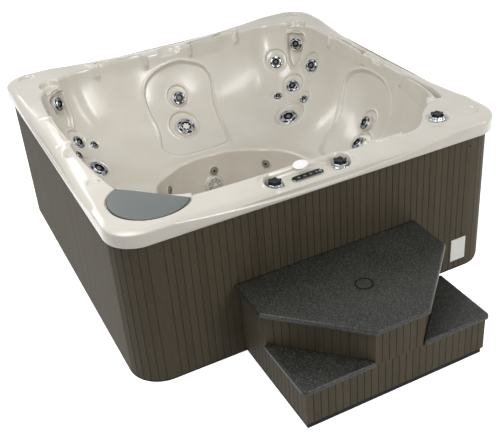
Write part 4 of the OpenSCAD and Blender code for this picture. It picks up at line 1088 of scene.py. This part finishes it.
def make_treads():
    x, y = STEP_W / 2, -CAB - STEP_D
    upper = rounded([(-x, STEP_Y, 8), (-x, y + CHAMFER, 26), (-x + CHAMFER, y, 26), (x - CHAMFER, y, 26),
                     (x, y + CHAMFER, 26), (x, STEP_Y, 8)])
    under = STEP_TOP - TREAD_T
    forms = [slab(upper, under, STEP_TOP, TOP_ROUND, UNDER_ROUND)]
    forms += [box((s * BATTEN_X - BATTEN_HALF, STEP_Y - BATTEN_FROM, under - BATTEN_T),
                  (s * BATTEN_X + BATTEN_HALF, STEP_Y - BATTEN_TO, under + 1)) for s in (-1, 1)]
    mesh_object("upper_tread_moulded", joined(forms), "tread", "step_top", ("upper_tread",), 35)
    x, y, c = SIDE_X + LOW_NOSE, FRONT_Y - LOW_NOSE, DIAG_C + 0.5
    corner = rounded([(x, y, 24), (x, x - c, 12), (c + y, y, 12)])
    forms = [slab(outline, LOW_TOP - TREAD_T, LOW_TOP, TOP_ROUND, UNDER_ROUND)
             for outline in (corner, (corner * (-1, 1))[::-1])]
    mesh_object("lower_treads_moulded", joined(forms), "tread", replaces=("lower_treads",), crease=35)


def make_tread_cap():
    """A round cap with straight ribs in a ring on the upper tread."""
    loops = []
    for r in (0.02, 8, 14, 20, 26, 31, 35, 38, 40, 42, 43.6, 44.6):
        a = np.arange(96) * math.pi / 48
        px, py = r * np.cos(a), r * np.sin(a)
        rib = 0.9 * np.abs(np.sin(px * math.pi / 9)) if r < 39 else 0.9 + 0 * px
        drop = 1.0 if r > 44 else 0
        loops.append(np.stack([px, py + CAP_Y, STEP_TOP + 0.4 + rib - drop], 1))
    low = loops[-1].copy()
    low[:, 2] = STEP_TOP - 7
    mesh_object("tread_cap_ribbed", loft((loops + [low])[::-1]), "tread", "step_top", ("tread_cap",), 60)
    ring = lathe([(36, STEP_TOP - 3), (36, STEP_TOP + 1.6), (37, STEP_TOP + 2.2), (43.5, STEP_TOP + 2.2),
                  (46.5, STEP_TOP + 1.2), (47, STEP_TOP - 3)], 72, closed=True)
    mesh_object("tread_cap_ring", shifted(ring, 0, CAP_Y, 0), "black_base", "step_top", crease=50)


MATERIALS = make_materials()


def dress_nodes():
    """Gives every node of the frame the material of its slot."""
    for part in frame["record"]["subparts"]:
        obj = NODES[part["node"]]
        obj.data.materials.clear()
        obj.data.materials.append(MATERIALS[part["material_slot"]])


# Studio

def make_camera():
    """The photograph's own view: azimuth, elevation and roll of the camera, and its distance from a target."""
    azimuth, elevation, roll = (math.radians(angle) for angle in (-24.06, 30.99, -4.95))
    target, distance = Vector((-0.0997, -0.3431, 0.426)), 4.679
    data = bpy.data.cameras.new("camera")
    data.sensor_fit = "HORIZONTAL"
    data.sensor_width = 36
    data.lens = 60.34
    data.shift_x, data.shift_y = 0.007, -0.049
    back = Vector((math.sin(azimuth) * math.cos(elevation), -math.cos(azimuth) * math.cos(elevation),
                   math.sin(elevation)))
    right = (-back).cross(Vector((0, 0, 1))).normalized()
    up = back.cross(right)
    right, up = right * math.cos(roll) + up * math.sin(roll), -right * math.sin(roll) + up * math.cos(roll)
    camera = new_object("camera", data)
    turn = Matrix((right, up, back)).transposed().to_4x4()
    camera.matrix_world = Matrix.Translation(target + back * distance) @ turn
    bpy.context.scene.camera = camera


def seen_by(tree, first, *others):
    """An output that is 1 for the given kinds of ray."""
    path = new_node(tree, "LightPath")
    value = path.outputs[first]
    for ray in others:
        value = new_node(tree, "Math", {0: value, 1: path.outputs[ray]}, operation="MAXIMUM").outputs[0]
    return value


FLOOR_SIZE, FLOOR_GLOW, WORLD_LIGHT, WHITE = 30, 0.85, 0.28, (1, 1, 1, 1)


def make_floor():
    """A pale floor that looks white to the camera and in reflections, and keeps the shadow."""
    mesh = bpy.data.meshes.new("floor")
    corners = [(FLOOR_SIZE * x, FLOOR_SIZE * y, 0) for x, y in ((-1, -1), (1, -1), (1, 1), (-1, 1))]
    mesh.from_pydata(corners, [], [(0, 1, 2, 3)])
    look = Look("floor", (232, 232, 232), 0.9)
    seen = seen_by(look.tree, "Is Camera Ray", "Is Glossy Ray")
    part = look.node("Math", {0: seen, 1: FLOOR_GLOW}, operation="MULTIPLY")
    glow = look.node("Emission", {"Color": WHITE, "Strength": part.outputs[0]})
    both = look.node("AddShader", {0: look.shader.outputs[0], 1: glow.outputs[0]})
    feed(look.tree, look.tree.nodes["Material Output"], {"Surface": both.outputs[0]})
    mesh.materials.append(look.material)
    new_object("floor", mesh)


def make_world():
    world = bpy.data.worlds.new("studio")
    bpy.context.scene.world = world
    world.use_nodes = True
    tree = world.node_tree
    light = tree.nodes["Background"]
    feed(tree, light, {"Color": WHITE, "Strength": WORLD_LIGHT})
    white = new_node(tree, "Background", {"Color": WHITE, "Strength": 1.0})
    seen = seen_by(tree, "Is Camera Ray", "Is Glossy Ray", "Is Transmission Ray")
    mix = new_node(tree, "MixShader", {0: seen, 1: light.outputs[0], 2: white.outputs[0]})
    feed(tree, tree.nodes["World Output"], {"Surface": mix.outputs[0]})


def make_lamp(name, place, power, size):
    data = bpy.data.lights.new(name, "AREA")
    data.energy = power
    data.shape = "RECTANGLE"
    data.size, data.size_y = size
    lamp = new_object(name, data)
    lamp.location = place
    lamp.rotation_mode = "QUATERNION"
    lamp.rotation_quaternion = (Vector((0, 0, 0.5)) - Vector(place)).to_track_quat("-Z", "Y")


def make_studio():
    bpy.context.scene.view_settings.view_transform = "Standard"
    make_floor()
    make_world()
    make_lamp("overhead", (-1.4, -0.5, 3.2), 52, (1.8, 1.8))
    make_lamp("front", (1.1, -4.2, 2.8), 60, (0.6, 2.4))
    make_lamp("back", (-1.6, 3.0, 3.0), 26, (2.4, 0.8))
    make_lamp("left_strip", (-2.6, -1.5, 2.7), 6, (0.4, 2.0))
    make_lamp("right_strip", (2.8, -1.8, 2.4), 20, (0.25, 2.4))


make_camera()
make_studio()
dress_nodes()
make_shell()
make_jets()
make_small_jets()
make_suction_cover()
make_knobs()
make_panel()
make_badge()
make_lid()
make_bezel()
make_treads()
make_tread_cap()
